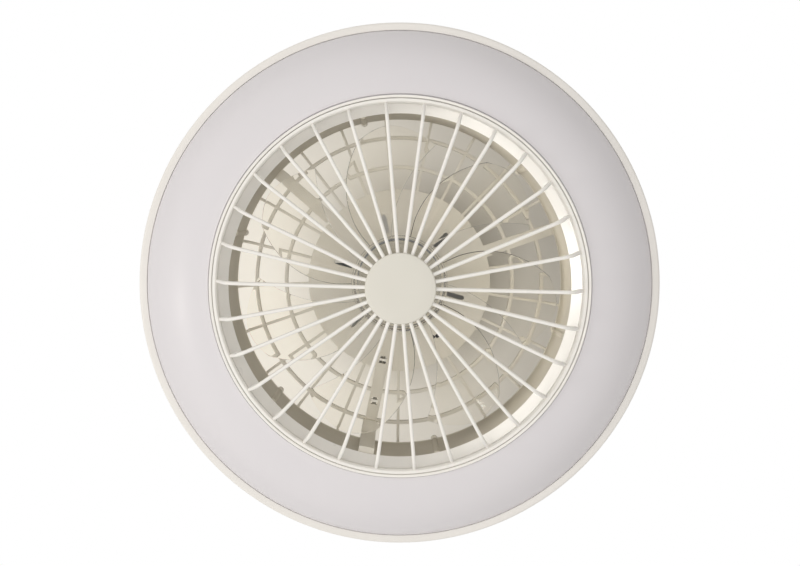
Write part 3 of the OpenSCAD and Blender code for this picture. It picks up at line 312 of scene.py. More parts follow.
# %% Join, unite and carve
def join(objects):
    """One object from several; their shells stay separate."""
    only(objects[0])
    for obj in objects:
        obj.select_set(True)
    bpy.ops.object.join()
    return objects[0]


def combine(obj, other, operation="UNION"):
    """Adds the other shape to the object, or cuts it out with DIFFERENCE."""
    only(obj)
    bpy.ops.object.modifier_add(type="BOOLEAN")
    cutter = obj.modifiers[-1]
    cutter.operation, cutter.object, cutter.solver = operation, other, "EXACT"
    cutter.use_self = True
    bpy.ops.object.modifier_apply(modifier=cutter.name)
    only(other)
    bpy.ops.object.delete()
    only(obj)
    bpy.ops.object.shade_smooth_by_angle(angle=math.radians(SHARP))


# %% [markdown]
# ## Finishes
#
# Every finish starts from what the real one is. Colours are written as screen values in hex, and
# one function turns them to the linear values that the shader needs. One small function adds a
# node with its settings and links, and a few more stand for what most finishes share. All
# patterns are laid out in Object coordinates, which are metres in the fan's own frame, so a scale
# is 1 divided by the size of the pattern in metres.

# %% Colour and node helpers
def srgb(code):
    """A hex colour as linear red, green and blue, with an alpha of 1."""
    shares = [int(code[i:i + 2], 16) / 255 for i in (1, 3, 5)]
    return tuple(c / 12.92 if c <= 0.04045 else ((c + 0.055) / 1.055) ** 2.4 for c in shares) + (1,)


def material(name):
    mat = bpy.data.materials.new(name)
    mat.use_nodes = True
    mat.node_tree.nodes.clear()
    return mat


def add(mat, kind, values=None, **settings):
    """Adds one node. Each value is a number, a colour, or the output that is linked there."""
    node = mat.node_tree.nodes.new("ShaderNode" + kind)
    for name, value in settings.items():
        setattr(node, name, value)
    for name, value in (values or {}).items():
        if isinstance(value, bpy.types.NodeSocket):
            mat.node_tree.links.new(value, node.inputs[name])
        else:
            node.inputs[name].default_value = value
    return node


def pattern(size_mm):
    """The Scale of a pattern whose features are about this far apart."""
    return 1 / (size_mm * MM)


# %% What most finishes share
def noise(mat, size_mm, detail=2.0, rough=0.5):
    """A soft noise in Object coordinates whose features are about this far apart."""
    place = add(mat, "TexCoord").outputs["Object"]
    return add(mat, "TexNoise", {"Vector": place, "Scale": pattern(size_mm), "Detail": detail,
                                 "Roughness": rough}).outputs[0]


def blend(mat, share, first, second):
    """One colour going over into another as the share goes from 0 to 1."""
    return add(mat, "Mix", {0: share, 6: first, 7: second}, data_type="RGBA").outputs[2]


def wander(mat, marks, low, high):
    """A value that wanders between two limits as the marks of a noise do."""
    return add(mat, "MapRange", {0: marks, 1: 0.3, 2: 0.7, 3: low, 4: high}).outputs[0]


def bump(mat, height, strength, depth_mm):
    """The normals of a relief of this depth."""
    return add(mat, "Bump", {"Height": height, "Strength": strength,
                             "Distance": depth_mm * MM}).outputs[0]


def from_axis(mat):
    """The level vector from the fan's axis, and its length in metres."""
    place = add(mat, "TexCoord").outputs["Object"]
    flat = add(mat, "VectorMath", {0: place, 1: (1, 1, 0)}, operation="MULTIPLY").outputs[0]
    return flat, add(mat, "VectorMath", {0: flat}, operation="LENGTH").outputs["Value"]


def finished(mat, surface):
    """Links the surface to the output."""
    add(mat, "OutputMaterial", {"Surface": surface.outputs[0]})
    return mat


# %% [markdown]
# ### Moulded plastic
#
# Most of the fan is injection-moulded ABS. A mould gives a soft satin skin: the gloss wanders a
# little where the melt flowed, the colour drifts by a shade, and a fine spark-eroded grain breaks
# up highlights. The grain of a real mould is about 0.2 mm, too fine to show at a metre, so it is
# drawn at 0.9 mm and very shallow.

# %% Moulded plastic
def moulded(name, colour, shade, gloss, grain_mm=0.9, depth_mm=0.012, **own):
    """Satin plastic between two close shades. gloss is the roughness's lowest and highest value."""
    mat = material(name)
    flow = noise(mat, 70, 3.0, 0.6)
    values = {"Base Color": blend(mat, flow, srgb(colour), srgb(shade)),
              "Roughness": wander(mat, flow, *gloss),
              "Normal": bump(mat, noise(mat, grain_mm), 0.6, depth_mm), "IOR": 1.53}
    return finished(mat, add(mat, "BsdfPrincipled", {**values, **own}))


# ABS, spark-eroded satin mould: warm white with soft highlights
white_abs = moulded("white_satin_ABS", "#EFECE8", "#E9E6E1", (0.4, 0.52))
# The cage behind the blades: the same ABS, painted warmer and duller as painted shade and warm bounce
# light inside the cage
shell_abs = moulded("cage_ABS_warmed_as_painted_shade", "#E2DDD1", "#DBD5C8", (0.45, 0.55))
# The drum: matt ABS, greyed as painted shade; its colour stands for the deep shade inside the duct
drum_abs = moulded("drum_ABS_greyed_as_painted_shade", "#C3BCAE", "#BAB3A3", (0.5, 0.6))
# The same ABS in a smoother mould, which the grille and the trim ring show as a softer gloss
ivory_abs = moulded("ivory_polished_ABS", "#F6F4F0", "#F2EFE9", (0.26, 0.36), depth_mm=0.006)
# ABS in cream, a shade darker than the bars, with a flat matt face
cream_abs = moulded("cream_matt_ABS", "#E2DFD6", "#DDDACF", (0.42, 0.52))
# Flame-retardant PC/ABS of the hidden boxes: cooler and more matt
case_plastic = moulded("grey_white_matt_PC_ABS", "#E8E8E4", "#DEDEDA", (0.5, 0.62))
# Polyamide of the terminal block: milky, with a waxy gloss
polyamide = moulded("natural_polyamide", "#EFEFEA", "#E2E0D4", (0.3, 0.45), **{"Subsurface Weight": 0.1})
# Acetal nut: slippery and even
acetal = moulded("white_acetal", "#E9E7E0", "#E3E0D7", (0.25, 0.35))
# Clips of soft white polypropylene
polypropylene = moulded("white_polypropylene", "#F4F2EC", "#ECE9E0", (0.4, 0.5))
# PVC jackets: a warm grey one for the light's lead, a paler one for the motor's
warm_pvc = moulded("warm_grey_PVC", "#BDB9AE", "#B3AFA3", (0.45, 0.55), grain_mm=1.5)
pale_pvc = moulded("pale_grey_PVC", "#D8D8D4", "#CFCFCB", (0.45, 0.55), grain_mm=1.5)
# Rubber pad: nearly black, open-pored and dull
rubber = moulded("black_nitrile_rubber", "#3B3B3B", "#303030", (0.75, 0.88), grain_mm=1.2, depth_mm=0.05)
# Infrared window of dyed polycarbonate: black and glossy
dark_lens = moulded("infrared_black_polycarbonate", "#1B1B1E", "#17171A", (0.05, 0.09), depth_mm=0.001)
# Cases of the electronic parts on the board
component = moulded("black_epoxy_components", "#4A4C50", "#3C3E42", (0.45, 0.6))
print("plastics made:", len(bpy.data.materials))

# %% [markdown]
# ### The light ring's diffuser
#
# The pale ring is opal PMMA: acrylic filled with a fine powder that scatters light. With the
# lamps off it looks like cool, slightly lilac porcelain. Its outer part lies deeper, above the
# emitters, and its colour is painted a shade darker there as painted shade. A volume would be the
# true way, but a little subsurface scattering on a Principled shader gives the same soft look at a
# fraction of the time.

# %% Opal acrylic
def opal_acrylic():
    mat = material("opal_acrylic")
    # Painted shade: the base colour darkens from 225 mm out to the rim
    outer = add(mat, "MapRange", {0: from_axis(mat)[1], 1: 225 * MM, 2: rim_r * MM, 3: 0.0, 4: 1.0},
                interpolation_type="SMOOTHSTEP").outputs[0]
    cloud = noise(mat, 90)
    near = blend(mat, cloud, srgb("#E3E0E3"), srgb("#E0DDE1"))
    return finished(mat, add(mat, "BsdfPrincipled", {
        "Base Color": blend(mat, outer, near, srgb("#DEDBDF")),
        "Roughness": wander(mat, cloud, 0.3, 0.38), "IOR": 1.49, "Subsurface Weight": 0.2,
        "Subsurface Radius": (0.004, 0.004, 0.004), "Subsurface Scale": 1.0}))


opal = opal_acrylic()
print("diffuser finish:", opal.name)

# %% [markdown]
# ### Clear blades
#
# The impeller is one moulding of clear SAN, a stiff plastic much like acrylic. It is seen by its
# edges and its reflections. Glass that casts a full shadow would darken the duct, so rays that
# look for a lamp see a nearly clear sheet instead. SAN's refractive index is 1.57. The lower one
# here keeps thin walls faint, so that the dark vent slots show through them.

# %% Clear plastic
def clear_san():
    mat = material("clear_SAN")
    flow = noise(mat, 45)
    glass = add(mat, "BsdfPrincipled", {
        "Base Color": srgb("#FEFDFA"), "Roughness": wander(mat, flow, 0.0, 0.02),
        "Normal": bump(mat, flow, 0.12, 0.15), "IOR": 1.2, "Transmission Weight": 1.0})
    ghost = add(mat, "BsdfTransparent", {"Color": srgb("#FBFAF7")})
    lamp_ray = add(mat, "LightPath").outputs["Is Shadow Ray"]
    return finished(mat, add(mat, "MixShader", {0: lamp_ray, 1: glass.outputs[0], 2: ghost.outputs[0]}))


clear_plastic = clear_san()
print("blade finish:", clear_plastic.name)

# %% [markdown]
# ### Metals
#
# Bare metals get their colour through metallic reflection. Zinc plating is mottled, ground steel
# has fine level lines, drawn steel has long upright ones, and a diecasting is dull and slightly
# pitted. One function serves all of them, with a streak size for each.

# %% Metals
def metal(name, colour, shade, gloss, streak, depth_mm=0.01):
    """A metal with two close tones. streak is the size of its marks along x, y and z in mm."""
    mat = material(name)
    place = add(mat, "TexCoord").outputs["Object"]
    stretch = add(mat, "Mapping", {"Vector": place, "Scale": tuple(pattern(s) for s in streak)})
    marks = add(mat, "TexNoise", {"Vector": stretch.outputs[0], "Scale": 1.0, "Detail": 4.0}).outputs[0]
    return finished(mat, add(mat, "BsdfPrincipled", {
        "Base Color": blend(mat, marks, srgb(colour), srgb(shade)), "Metallic": 1.0,
        "Roughness": wander(mat, marks, *gloss), "Normal": bump(mat, marks, 0.4, depth_mm)}))


# Galvanised sheet steel: large grey spangles
galvanised = metal("galvanised_sheet_steel", "#B9BBBD", "#9DA0A4", (0.35, 0.5), streak=(9, 9, 9))
# Zinc-plated screws: bright, finely mottled
zinc_plate = metal("zinc_plated_screw_steel", "#C4C6C8", "#ABAEB3", (0.25, 0.4), streak=(2, 2, 2))
# Aluminium diecasting, as it leaves the die
cast_metal = metal("diecast_aluminium", "#A9ABAD", "#97999C", (0.5, 0.65), streak=(3, 3, 3),
                   depth_mm=0.04)
# Deep-drawn, nickel-plated steel bell with marks of drawing down its wall
drawn_steel = metal("drawn_nickel_plated_steel", "#CDC9C0", "#BCB8AE", (0.45, 0.55), streak=(4, 4, 30))
# Ground bearing steel: smooth and bright
ground_steel = metal("ground_bearing_steel", "#C9CBCD", "#B9BBBE", (0.12, 0.22), streak=(6, 6, 0.8),
                     depth_mm=0.003)
# Sintered ferrite magnets: dark, fine-grained and dull
ferrite = moulded("sintered_ferrite", "#55585C", "#46494D", (0.6, 0.75), grain_mm=1.0, depth_mm=0.03)
print("metals made")

# %% [markdown]
# ### Motor and board finishes
#
# The stator is a stack of 0.5 mm sheets, drawn here at 1 mm so that the lines show. The coils are
# enamelled copper wire of 0.6 mm. The control board is green solder mask over copper traces, and
# the light boards are white mask with faint traces.

# %% Laminations and wire
def layered(name, colour, line, pitch_mm, gloss, depth_mm, metallic):
    """Thin horizontal layers: the edges of stacked sheets, or turns of wire."""
    mat = material(name)
    place = add(mat, "TexCoord").outputs["Object"]
    bands = add(mat, "TexWave", {"Vector": place, "Scale": pattern(pitch_mm) / 20 * math.pi,
                                 "Distortion": 0.3, "Detail": 1.0},
                wave_type="BANDS", bands_direction="Z").outputs[1]
    return finished(mat, add(mat, "BsdfPrincipled", {
        "Base Color": blend(mat, bands, srgb(line), srgb(colour)), "Metallic": metallic,
        "Roughness": gloss, "Normal": bump(mat, bands, 0.8, depth_mm)}))


lamination = layered("stacked_electrical_steel", "#8D9296", "#5E6266", 1.0, 0.45, 0.1, 1.0)
copper_wire = layered("enamelled_copper_wire", "#B87333", "#7E4A22", 0.6, 0.28, 0.2, 0.9)


# %% Circuit boards and emitters
def circuit(name, mask, trace, cell_mm, gloss):
    """Solder mask over straight copper traces, drawn as the cells of a square pattern."""
    mat = material(name)
    place = add(mat, "TexCoord").outputs["Object"]
    cells = add(mat, "TexVoronoi", {"Vector": place, "Scale": pattern(cell_mm), "Randomness": 0.7},
                distance="CHEBYCHEV", feature="F1")
    lines = add(mat, "MapRange", {0: cells.outputs["Distance"], 1: 0.42, 2: 0.46, 3: 0.0,
                                  4: 1.0}).outputs[0]
    return finished(mat, add(mat, "BsdfPrincipled", {
        "Base Color": blend(mat, lines, srgb(mask), srgb(trace)), "Roughness": gloss,
        "Normal": bump(mat, lines, 0.5, 0.04), "IOR": 1.5}))


green_board = circuit("green_solder_mask", "#2F6B45", "#3F8257", 3.0, 0.32)
white_board = circuit("white_solder_mask", "#F7F7F5", "#EAEAE6", 6.0, 0.4)
# Emitters: a yellow phosphor gel in a white cup, slightly cloudy
phosphor = moulded("yellow_phosphor_silicone", "#F3D98B", "#EBCB72", (0.2, 0.3), grain_mm=0.6)
print("all finishes:", len(bpy.data.materials))

# %% [markdown]
# ## Finishing the carried-over parts
#
# The CAD meshes of small and hidden parts have the right shape already. They stay as they are and
# only get their finish, in their own material slots.

# %% Finishes of the CAD parts
FINISHES = {
    galvanised: ["ceiling_bracket"],
    zinc_plate: ["canopy_screws", "terminal_screw", "controller_screws", "guard_screws", "cover_screw",
                 "drum_screws", "tray_screws", "air_ring_screws", "motor_screws"],
    white_abs: ["canopy", "light_tray"],
    shell_abs: ["rear_guard", "lead_cover"],
    drum_abs: ["drum"],
    ivory_abs: ["air_ring", "front_grille"],
    cream_abs: ["hub_cap"],
    case_plastic: ["controller_case", "controller_lid"],
    polyamide: ["terminal_block"],
    acetal: ["impeller_nut"],
    polypropylene: ["lead_clips"],
    warm_pvc: ["light_lead"],
    pale_pvc: ["motor_lead"],
    rubber: ["motor_pad"],
    dark_lens: ["receiver_eye"],
    component: ["board_parts"],
    opal: ["diffuser"],
    clear_plastic: ["impeller"],
    cast_metal: ["motor_base"],
    drawn_steel: ["rotor_bell"],
    ground_steel: ["bearing_outer_races", "bearing_inner_races", "bearing_balls", "bearing_spacer",
                   "motor_shaft", "shaft_clip"],
    ferrite: ["rotor_magnets"],
    lamination: ["stator_core"],
    copper_wire: ["stator_coils"],
    green_board: ["control_board", "motor_board"],
    white_board: ["led_boards"],
    phosphor: ["led_chips"],
}
for finish, names in FINISHES.items():
    for name in names:
        mesh = nodes[name].data
        if not mesh.materials:
            mesh.materials.append(finish)
        for slot in range(len(mesh.materials)):
            mesh.materials[slot] = finish
print("CAD parts with a finish:", sum(len(names) for names in FINISHES.values()), "of", len(nodes))


def dress(obj, finish, slot, body, *replaced):
    """Gives a new piece its finish, puts it on its body and hides the CAD parts that it replaces."""
    obj.data.materials.clear()
    obj.data.materials.append(finish)
    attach(obj, body)
    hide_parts(*replaced)
    print(obj.name, "for", replaced, "size in mm:", [round(s / MM, 1) for s in obj.dimensions],
          "open edges:", open_edges(obj))


# %% [markdown]
# ## The light tray
#
# The tray is a shallow white pan that hangs on the drum's upper flange. Its rim turns down and
# then inwards, and the diffuser sits inside it. It is one turned shell, so the lathe makes it,
# and the rim's small round edges catch the thin bright line that runs round the real one.

# %% Light tray
wall = 2
rim_in_r = rim_r - 8.5
tray_bend, rim_bend, upstand = 6, 3, 6
hole_r = duct_r + drum_wall + 0.5    # a little play round the drum
tray_profile = (
    [(hole_r, tray_top)]
    + arc((rim_r - tray_bend, tray_top + tray_bend), tray_bend, -90, 0)
    + arc((rim_r - rim_bend, rim_drop - rim_bend), rim_bend, 0, 90)
    + [(rim_in_r, rim_drop), (rim_in_r, rim_drop - upstand),
       (rim_in_r + wall, rim_drop - upstand), (rim_in_r + wall, rim_drop - wall)]
    + arc((rim_r - rim_bend, rim_drop - rim_bend), rim_bend - wall, 90, 0)
    + arc((rim_r - tray_bend, tray_top + tray_bend), tray_bend - wall, 0, -90)
    + [(hole_r, tray_top + wall)])
tray = lathe("tray_shell", tray_profile, rounded=[(rim_in_r, rim_drop, 0.7)], steps=240)
dress(tray, white_abs, "white_plastic", "housing", "light_tray")

# %% [markdown]
# ## The diffuser
#
# The opal ring bulges gently from the rim to the trim ring, which one arc describes. A real one
# is vacuum-formed from a sheet, so its wall is even and its outer edge is rounded. That round
# edge against the rim's makes the narrow dark seam.

# %% Diffuser
outer_end = Vector((rim_in_r - 0.4, rim_drop))
seat_r = mouth_r + 5.3
ridge_r, edge_r = seat_r + 2.8, seat_r + 4.5    # the trim ridge, and the diffuser's inner edge
inner_end = Vector((edge_r, full_drop - 6))
bulge = 11
chord = inner_end - outer_end
bulge_r = (chord.length / 2) ** 2 / (2 * bulge) + bulge / 2
down = Vector((chord.y, -chord.x)).normalized()
bulge_centre = (outer_end + inner_end) / 2 - (bulge_r - bulge) * down


def angle_to(target):
    """The angle of a point seen from the bulge's centre, for arc."""
    return math.degrees(math.atan2(target.y - bulge_centre.y, target.x - bulge_centre.x))


skin_r = bulge_r - wall
lip_in, skirt_top = ridge_r - 0.5, rim_drop - 9
lip_drop = inner_end.y - 2.5    # the lip under the ridge: the groove's floor
lip_turn = math.degrees(math.acos((edge_r + wall - bulge_centre.x) / skin_r))
skirt_turn = math.degrees(math.acos((outer_end.x - wall - bulge_centre.x) / skin_r))
opal_profile = (
    arc(bulge_centre, bulge_r, angle_to(outer_end), angle_to(inner_end), 28)
    + [(edge_r, lip_drop), (lip_in, lip_drop), (lip_in, lip_drop - wall),
       (edge_r + wall, lip_drop - wall)]
    + arc(bulge_centre, skin_r, lip_turn, skirt_turn, 20)
    + [(outer_end.x - wall, skirt_top), (outer_end.x, skirt_top)])
opal_ring = lathe("opal_ring", opal_profile,
                  rounded=[(outer_end.x, outer_end.y, 1.0), (edge_r, inner_end.y, 0.4)], steps=360)
dress(opal_ring, opal, "opal", "housing", "diffuser")
print("diffuser bulges on a radius of", round(bulge_r, 1), "mm")

# %% [markdown]
# ## The trim ring with its funnel
#
# One white moulding carries the duct's flared mouth, the seat of the grille and the trim ridge
# that shows round the grille. Here it is turned as two pieces that overlap in the wall, because
# one lamp lights the funnel alone. The two thin grey lines round the grille are real gaps: one
# between the grille's ring and the ridge, and one between the ridge and the diffuser.

# %% Funnel and trim ring
collar_r = seat_r + 2
rebate = full_drop - 7
slope = (mouth_r - duct_r) / (rebate - drum_bottom)


def funnel_back(drop):
    """Radius of the back of the funnel's wall."""
    return duct_r + slope * (drop - drum_bottom) + wall * math.sqrt(1 + slope ** 2)


foot_r = duct_r + drum_wall + 9
funnel = lathe("duct_mouth", [
    (duct_r, drum_bottom), (mouth_r, rebate), (seat_r + 0.2, rebate), (seat_r + 0.2, rebate - wall),
    (funnel_back(rebate - wall), rebate - wall), (funnel_back(drum_bottom + wall), drum_bottom + wall),
    (foot_r, drum_bottom + wall), (foot_r, drum_bottom)], steps=240)
dress(funnel, ivory_abs, "white_plastic", "housing", "air_ring")
trim = lathe("trim_ring", [
    (seat_r, rebate - wall), (seat_r, full_drop - 0.9),
    (seat_r + 0.3, full_drop - 0.4), (seat_r + 0.8, full_drop - 0.2), (seat_r + 2.3, full_drop - 0.2),
    (ridge_r - 0.1, full_drop - 0.5), (ridge_r, full_drop - 1), (ridge_r, full_drop - 6),
    (collar_r, full_drop - 6), (collar_r, rebate - wall)], steps=360)
dress(trim, ivory_abs, "white_plastic", "housing", "air_ring")

# %% [markdown]
# ## The drum
#
# The drum is the short duct in which the blades turn: a cylinder with a flange on top and a foot
# below. Six round screw bosses stand in its wall. They are pins united with the turned wall,
# because a union gives one clean skin where a boss meets it.

# %% Drum
boss_r, boss_angles = 3.6, every(6, -42.5)
drum_out = duct_r + drum_wall
drum = lathe("duct_drum", [
    (duct_r, drum_top), (flange_r, drum_top), (flange_r, drum_top + drum_wall),
    (drum_out, drum_top + drum_wall), (drum_out, drum_bottom - drum_wall),
    (foot_r, drum_bottom - drum_wall), (foot_r, drum_bottom), (duct_r, drum_bottom)], steps=240)
boss = pin("drum_boss", boss_r, drum_top + 0.1, drum_bottom - 0.1, at=(duct_r + 2, 0), soft=0.3)
# The boss's outer half would come through the wall, so it is cut back to the wall's middle
wall_mid = duct_r + 1.2
keep = lathe("boss_limit", [(duct_r - 20, drum_top - 5), (wall_mid, drum_top - 5),
                            (wall_mid, drum_bottom + 5), (duct_r - 20, drum_bottom + 5)])
bosses = join(turned_copies(boss, boss_angles))
combine(bosses, keep, "INTERSECT")
combine(drum, bosses)
dress(drum, drum_abs, "white_plastic", "housing", "drum")

# %% [markdown]
# ## The rear guard
#
# The cage above the blades is one moulding: a centre plate, two rings, a flange ring on the drum,
# three wide arms shaped like shallow channels, and seven thin ribs in each gap between them. A
# boolean grid could cut the gaps out of a shell, but it is easier to see, and gives rounder ribs,
# to draw one rib and one arm along the shoulder and copy them round.

# %% Guard: plate and rings
plate_bottom = plate_top + 5
guard_t, lead_arm = 4, 101.5
shoulder = 11
bend_r = duct_r - shoulder
arm_angles = every(3, lead_arm)
guard_top, plate_r = plate_bottom - guard_t, canopy_r + 0.6
plate = lathe("guard_cage", [
    (0, plate_top), (canopy_r, plate_top), (canopy_r, guard_top), (plate_r, guard_top),
    (plate_r, plate_bottom), (0, plate_bottom)], rounded=[(plate_r, plate_bottom, 0.6)])
rings = []
for r in (124.5, duct_r - 18):
    ring_in, ring_out = r - 2, r + 2
    rings.append(lathe("guard_ring", [
        (ring_in, guard_top), (ring_out, guard_top), (ring_out, plate_bottom), (ring_in, plate_bottom)],
        rounded=[(ring_in, plate_bottom, 0.7), (ring_out, plate_bottom, 0.7)]))
rings.append(lathe("guard_flange", [(duct_r, drum_top - guard_t), (duct_r + 6, drum_top - guard_t),
                                    (duct_r + 6, drum_top), (duct_r, drum_top)]))

# %% Guard: ribs, arms and lugs
def spoke(name, wide, low, high, corner, foot=drum_top):
    """A rib or arm between two depths above the guard's lower face, drawn along the shoulder."""
    obj = section(name, canopy_r - 1, plate_bottom - (low + high) / 2, high - low, wide, corner)
    draw_out(bend_r - canopy_r + 1, 0)
    bend_down((bend_r, plate_bottom + shoulder), 90)
    draw_out(0, foot - plate_bottom - shoulder)
    return close_up(obj)


first_rib, rib_span, rib_count = 11, 98, 7    # degrees from each arm, and ribs in each gap
rib_angles = [arm + first_rib + k * rib_span / (rib_count - 1)
              for arm in arm_angles for k in range(rib_count)]
ribs = turned_copies(spoke("guard_rib", 3, 0, guard_t, 0.7), rib_angles)
arms = turned_copies(spoke("guard_arm", 13, 0, guard_t, 0.5), arm_angles)
lips = []
for side in (-1, 1):
    lip = spoke("arm_lip", 1.6, 2, guard_t + 3, 0.3, foot=drum_top - 1)
    lip.location.y = side * 5.5 * MM
    bpy.ops.object.transform_apply(location=True)
    lips += turned_copies(lip, arm_angles)
lug = pin("screw_lug", boss_r, drum_top - 4.5, drum_top - 0.3, at=(duct_r, 0), soft=0.4)
lugs = turned_copies(lug, boss_angles)
spokes = join(ribs + arms + lips + lugs + rings)
combine(plate, spokes)
print("guard faces", len(plate.data.polygons), "open edges", open_edges(plate))

# %% Guard: slots and windows
# Six vents round the motor, two windows for the lead's clips, and the slot where it comes out
below = plate_bottom + 1
vent_r, window_radii = 63.5, (90, 136)
cutters = turned_copies(punch("vent", (21, 5), vent_r, 2.49, plate_top - 1, below), every(6, -44))
for r in window_radii:
    cutters += turned_copies(punch("clip_window", (8, 7.5), r, 0.5, plate_top - 4, below), [lead_arm])
lead_slot = punch("lead_slot", (11, 5.2), bend_r + 1.5, 1, plate_top, plate_bottom + 8)
cutters += turned_copies(lead_slot, [lead_arm])
eye_low, eye_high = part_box("receiver_eye")
eye = (eye_low + eye_high) / 2 / MM
cutters.append(pin("eye_hole", 2.25, plate_bottom - 2, below, at=(eye.x, eye.y)))
cutters.append(pin("motor_hole", 12, plate_top - 1, below))
combine(plate, join(cutters), "DIFFERENCE")
# The cut leaves a few doubled vertices
bpy.ops.object.mode_set(mode="EDIT")
close_up(plate)
dress(plate, shell_abs, "white_plastic", "housing", "rear_guard")

# %% [markdown]
# ## The cover over the light's lead
#
# At the end of one arm a plain cover runs round the shoulder and down the drum's wall, and hides
# the lead to the light ring. It is a flat strip that follows the wall, so the same drawing-out
# serves it.

# %% Lead cover
cover_deep, cover_wide = 6, 16
cover = section("lead_strip", bend_r - 7, plate_bottom + cover_deep / 2, cover_deep, cover_wide, 0.8)
draw_out(7, 0)
bend_down((bend_r, plate_bottom + shoulder), 90)
draw_out(0, drum_bottom - 1 - plate_bottom - shoulder)
close_up(cover)
turned_copies(cover, [lead_arm])
dress(cover, shell_abs, "white_plastic", "housing", "lead_cover")

# %% [markdown]
# ## The front grille
#
# Thirty straight bars run out from a centre boss, bend up over a shoulder and end in a ring that
# twists into the trim ring. The bar's face is round and its back is flat. One bar is drawn and
# copied; the ring is turned. In the plane of a bar, a point is a vector of radius and drop, and
# turns are measured in radians from straight down.

# %% Grille bar
bar_w, bar_t, crown, bend = 3.6, 5.5, 4, 15
shoulder_r = mouth_r - 23.8
boss_ring_r = cap_r - 1
bar_mid = bar_face - bar_t / 2
bar_from = Vector((boss_ring_r - 2, bar_mid))
bend_centre = Vector((shoulder_r, bar_mid - crown - bend))
ring_meet = Vector((mouth_r - 1.5, full_drop - 2.5))
to_ring = ring_meet - bend_centre
leg_turn = math.pi / 2 + math.atan2(-to_ring.y, to_ring.x) - math.acos(bend / to_ring.length)
crown_turn = math.atan2(crown, shoulder_r - bar_from.x)
bend_from, bend_to = [bend_centre + bend * Vector((math.sin(turn), math.cos(turn)))
                      for turn in (crown_turn, leg_turn)]
bar = section("grille_bars", *bar_from, bar_t, bar_w, bar_w / 2 - 0.1, segments=5, both=False)
draw_out(*(bend_from - bar_from))
bend_down(bend_centre, math.degrees(crown_turn - leg_turn), steps=10)
draw_out(*(ring_meet - bend_to))
close_up(bar)
print("bar leg stands at", round(math.degrees(leg_turn), 1), "degrees; open edges", open_edges(bar))

# %% Grille ring and boss
ring_out = mouth_r + 4.5
chamfer_r = mouth_r + 1.5
grille_ring = lathe("grille_ring", [
    (mouth_r, ring_top), (ring_out, ring_top), (ring_out, full_drop), (chamfer_r, full_drop),
    (mouth_r, full_drop - 2.2)],
    rounded=[(ring_out, full_drop, 0.5), (chamfer_r, full_drop, 0.5)], steps=360)
boss_top = bar_face - bar_t - 3
boss_hole_r, boss_in_r = 5.3, boss_ring_r - 4
centre_boss = lathe("grille_boss", [
    (boss_hole_r, boss_top), (boss_ring_r, boss_top), (boss_ring_r, bar_face), (boss_in_r, bar_face),
    (boss_in_r, boss_top + 2), (boss_hole_r, boss_top + 2)])
bars = join(turned_copies(bar, every(30, -10.45)))
lug = block("bayonet_lug", (2, 10, 2.6), (ring_out, 0, ring_top + 1.5), soft=0.3)
combine(bars, join([grille_ring, centre_boss] + turned_copies(lug, every(3, 30))))
dress(bars, ivory_abs, "white_plastic", "housing", "front_grille")

# %% [markdown]
# ## The hub cap
#
# A flat disc with a softly rounded edge snaps over the middle of the grille. Its edge looks crisp
# because the disc stands proud of the bars by its own thickness.

# %% Hub cap
cap_t = cap_drop - bar_face
stem_r, stem_top = 5, bar_face - 8.5
cap = lathe("cap_disc", [
    (0, stem_top), (stem_r, stem_top), (stem_r, bar_face), (cap_r, bar_face),
    (cap_r, bar_face + cap_t * 0.55), (cap_r - 0.8, bar_face + cap_t * 0.82),
    (cap_r - 2.4, bar_face + cap_t * 0.93),
    (cap_r / 2, bar_face + cap_t * 0.98), (0, bar_face + cap_t)], steps=120)
dress(cap, cream_abs, "cream_plastic", "housing", "hub_cap")

# %% [markdown]
# ## The impeller
#
# Hub and blades are one clear moulding. The hub is a cup over the motor, and under its floor two
# rings and 42 short ribs make the comb that shows as a circle of small squares. For clear
# plastic the parts must be truly united, because every hidden inner face would refract.

# %% Hub
hub_r, hub_in = 50, 47.5
_, hub_top, _ = round_size("impeller")
_, _, bell_end = round_size("rotor_bell")
boss_end = bell_end + 11
hub_low = boss_end - 1
floor_low = bell_end - 1
floor_top = floor_low - 3
neck_r, bore_r, seat_in = 11, 4.05, 9.4    # the boss on the shaft, its bore, the seat on the bell
hub = lathe("clear_impeller", [
    (seat_in, floor_top), (hub_in, floor_top), (hub_in, hub_top), (hub_r, hub_top),
    (hub_r, hub_low), (hub_in, hub_low), (hub_in, floor_low), (neck_r, floor_low),
    (neck_r, boss_end), (bore_r, boss_end), (bore_r, bell_end), (seat_in, bell_end)],
    rounded=[(hub_r, hub_low, 0.6), (hub_in, hub_low, 0.6)], steps=144)
comb_wall, comb_top, comb_low = 1.1, floor_low - 1, hub_low - 1
comb = []
for r in (35, 42.5):
    comb_in = r - comb_wall
    comb.append(lathe("comb_ring", [
        (comb_in, comb_top), (r, comb_top), (r, comb_low), (comb_in, comb_low)], steps=144))
rib = block("comb_rib", (14.5, comb_wall, comb_low - comb_top), (41.75, 0, (comb_low + comb_top) / 2))
comb += turned_copies(rib, every(42, 0))
combine(hub, join(comb))

# %% [markdown]
# A blade is a twisted sheet: its pitch falls from hub to tip, its edges sweep, and it is slightly
# hollow. A grid is laid on that form point by point, and a Solidify modifier gives it its wall.

# %% Blades
blade_r, root_r = 165.4, (hub_r + hub_in) / 2
tip_at = 0.26    # the share of the blade's width where it reaches out farthest
tail_cut, nose_cut = 11, 15    # by how much the tip is rounded off at both edges
straight_r, tail_sweep = 63, 23    # the trailing edge is straight up to here, and its sweep
tail_r = blade_r - 10.4    # about where the trailing edge meets the rounded tip
nose_start, nose_sweep, nose_r = 38, 19.1, 89    # degrees at this radius, and degrees more at the tip
root_pitch, pitch_fall = 38, 19
hollow = 0.045    # depth of the hollow as a share of the width
blade_drop = hub_low - 12.5


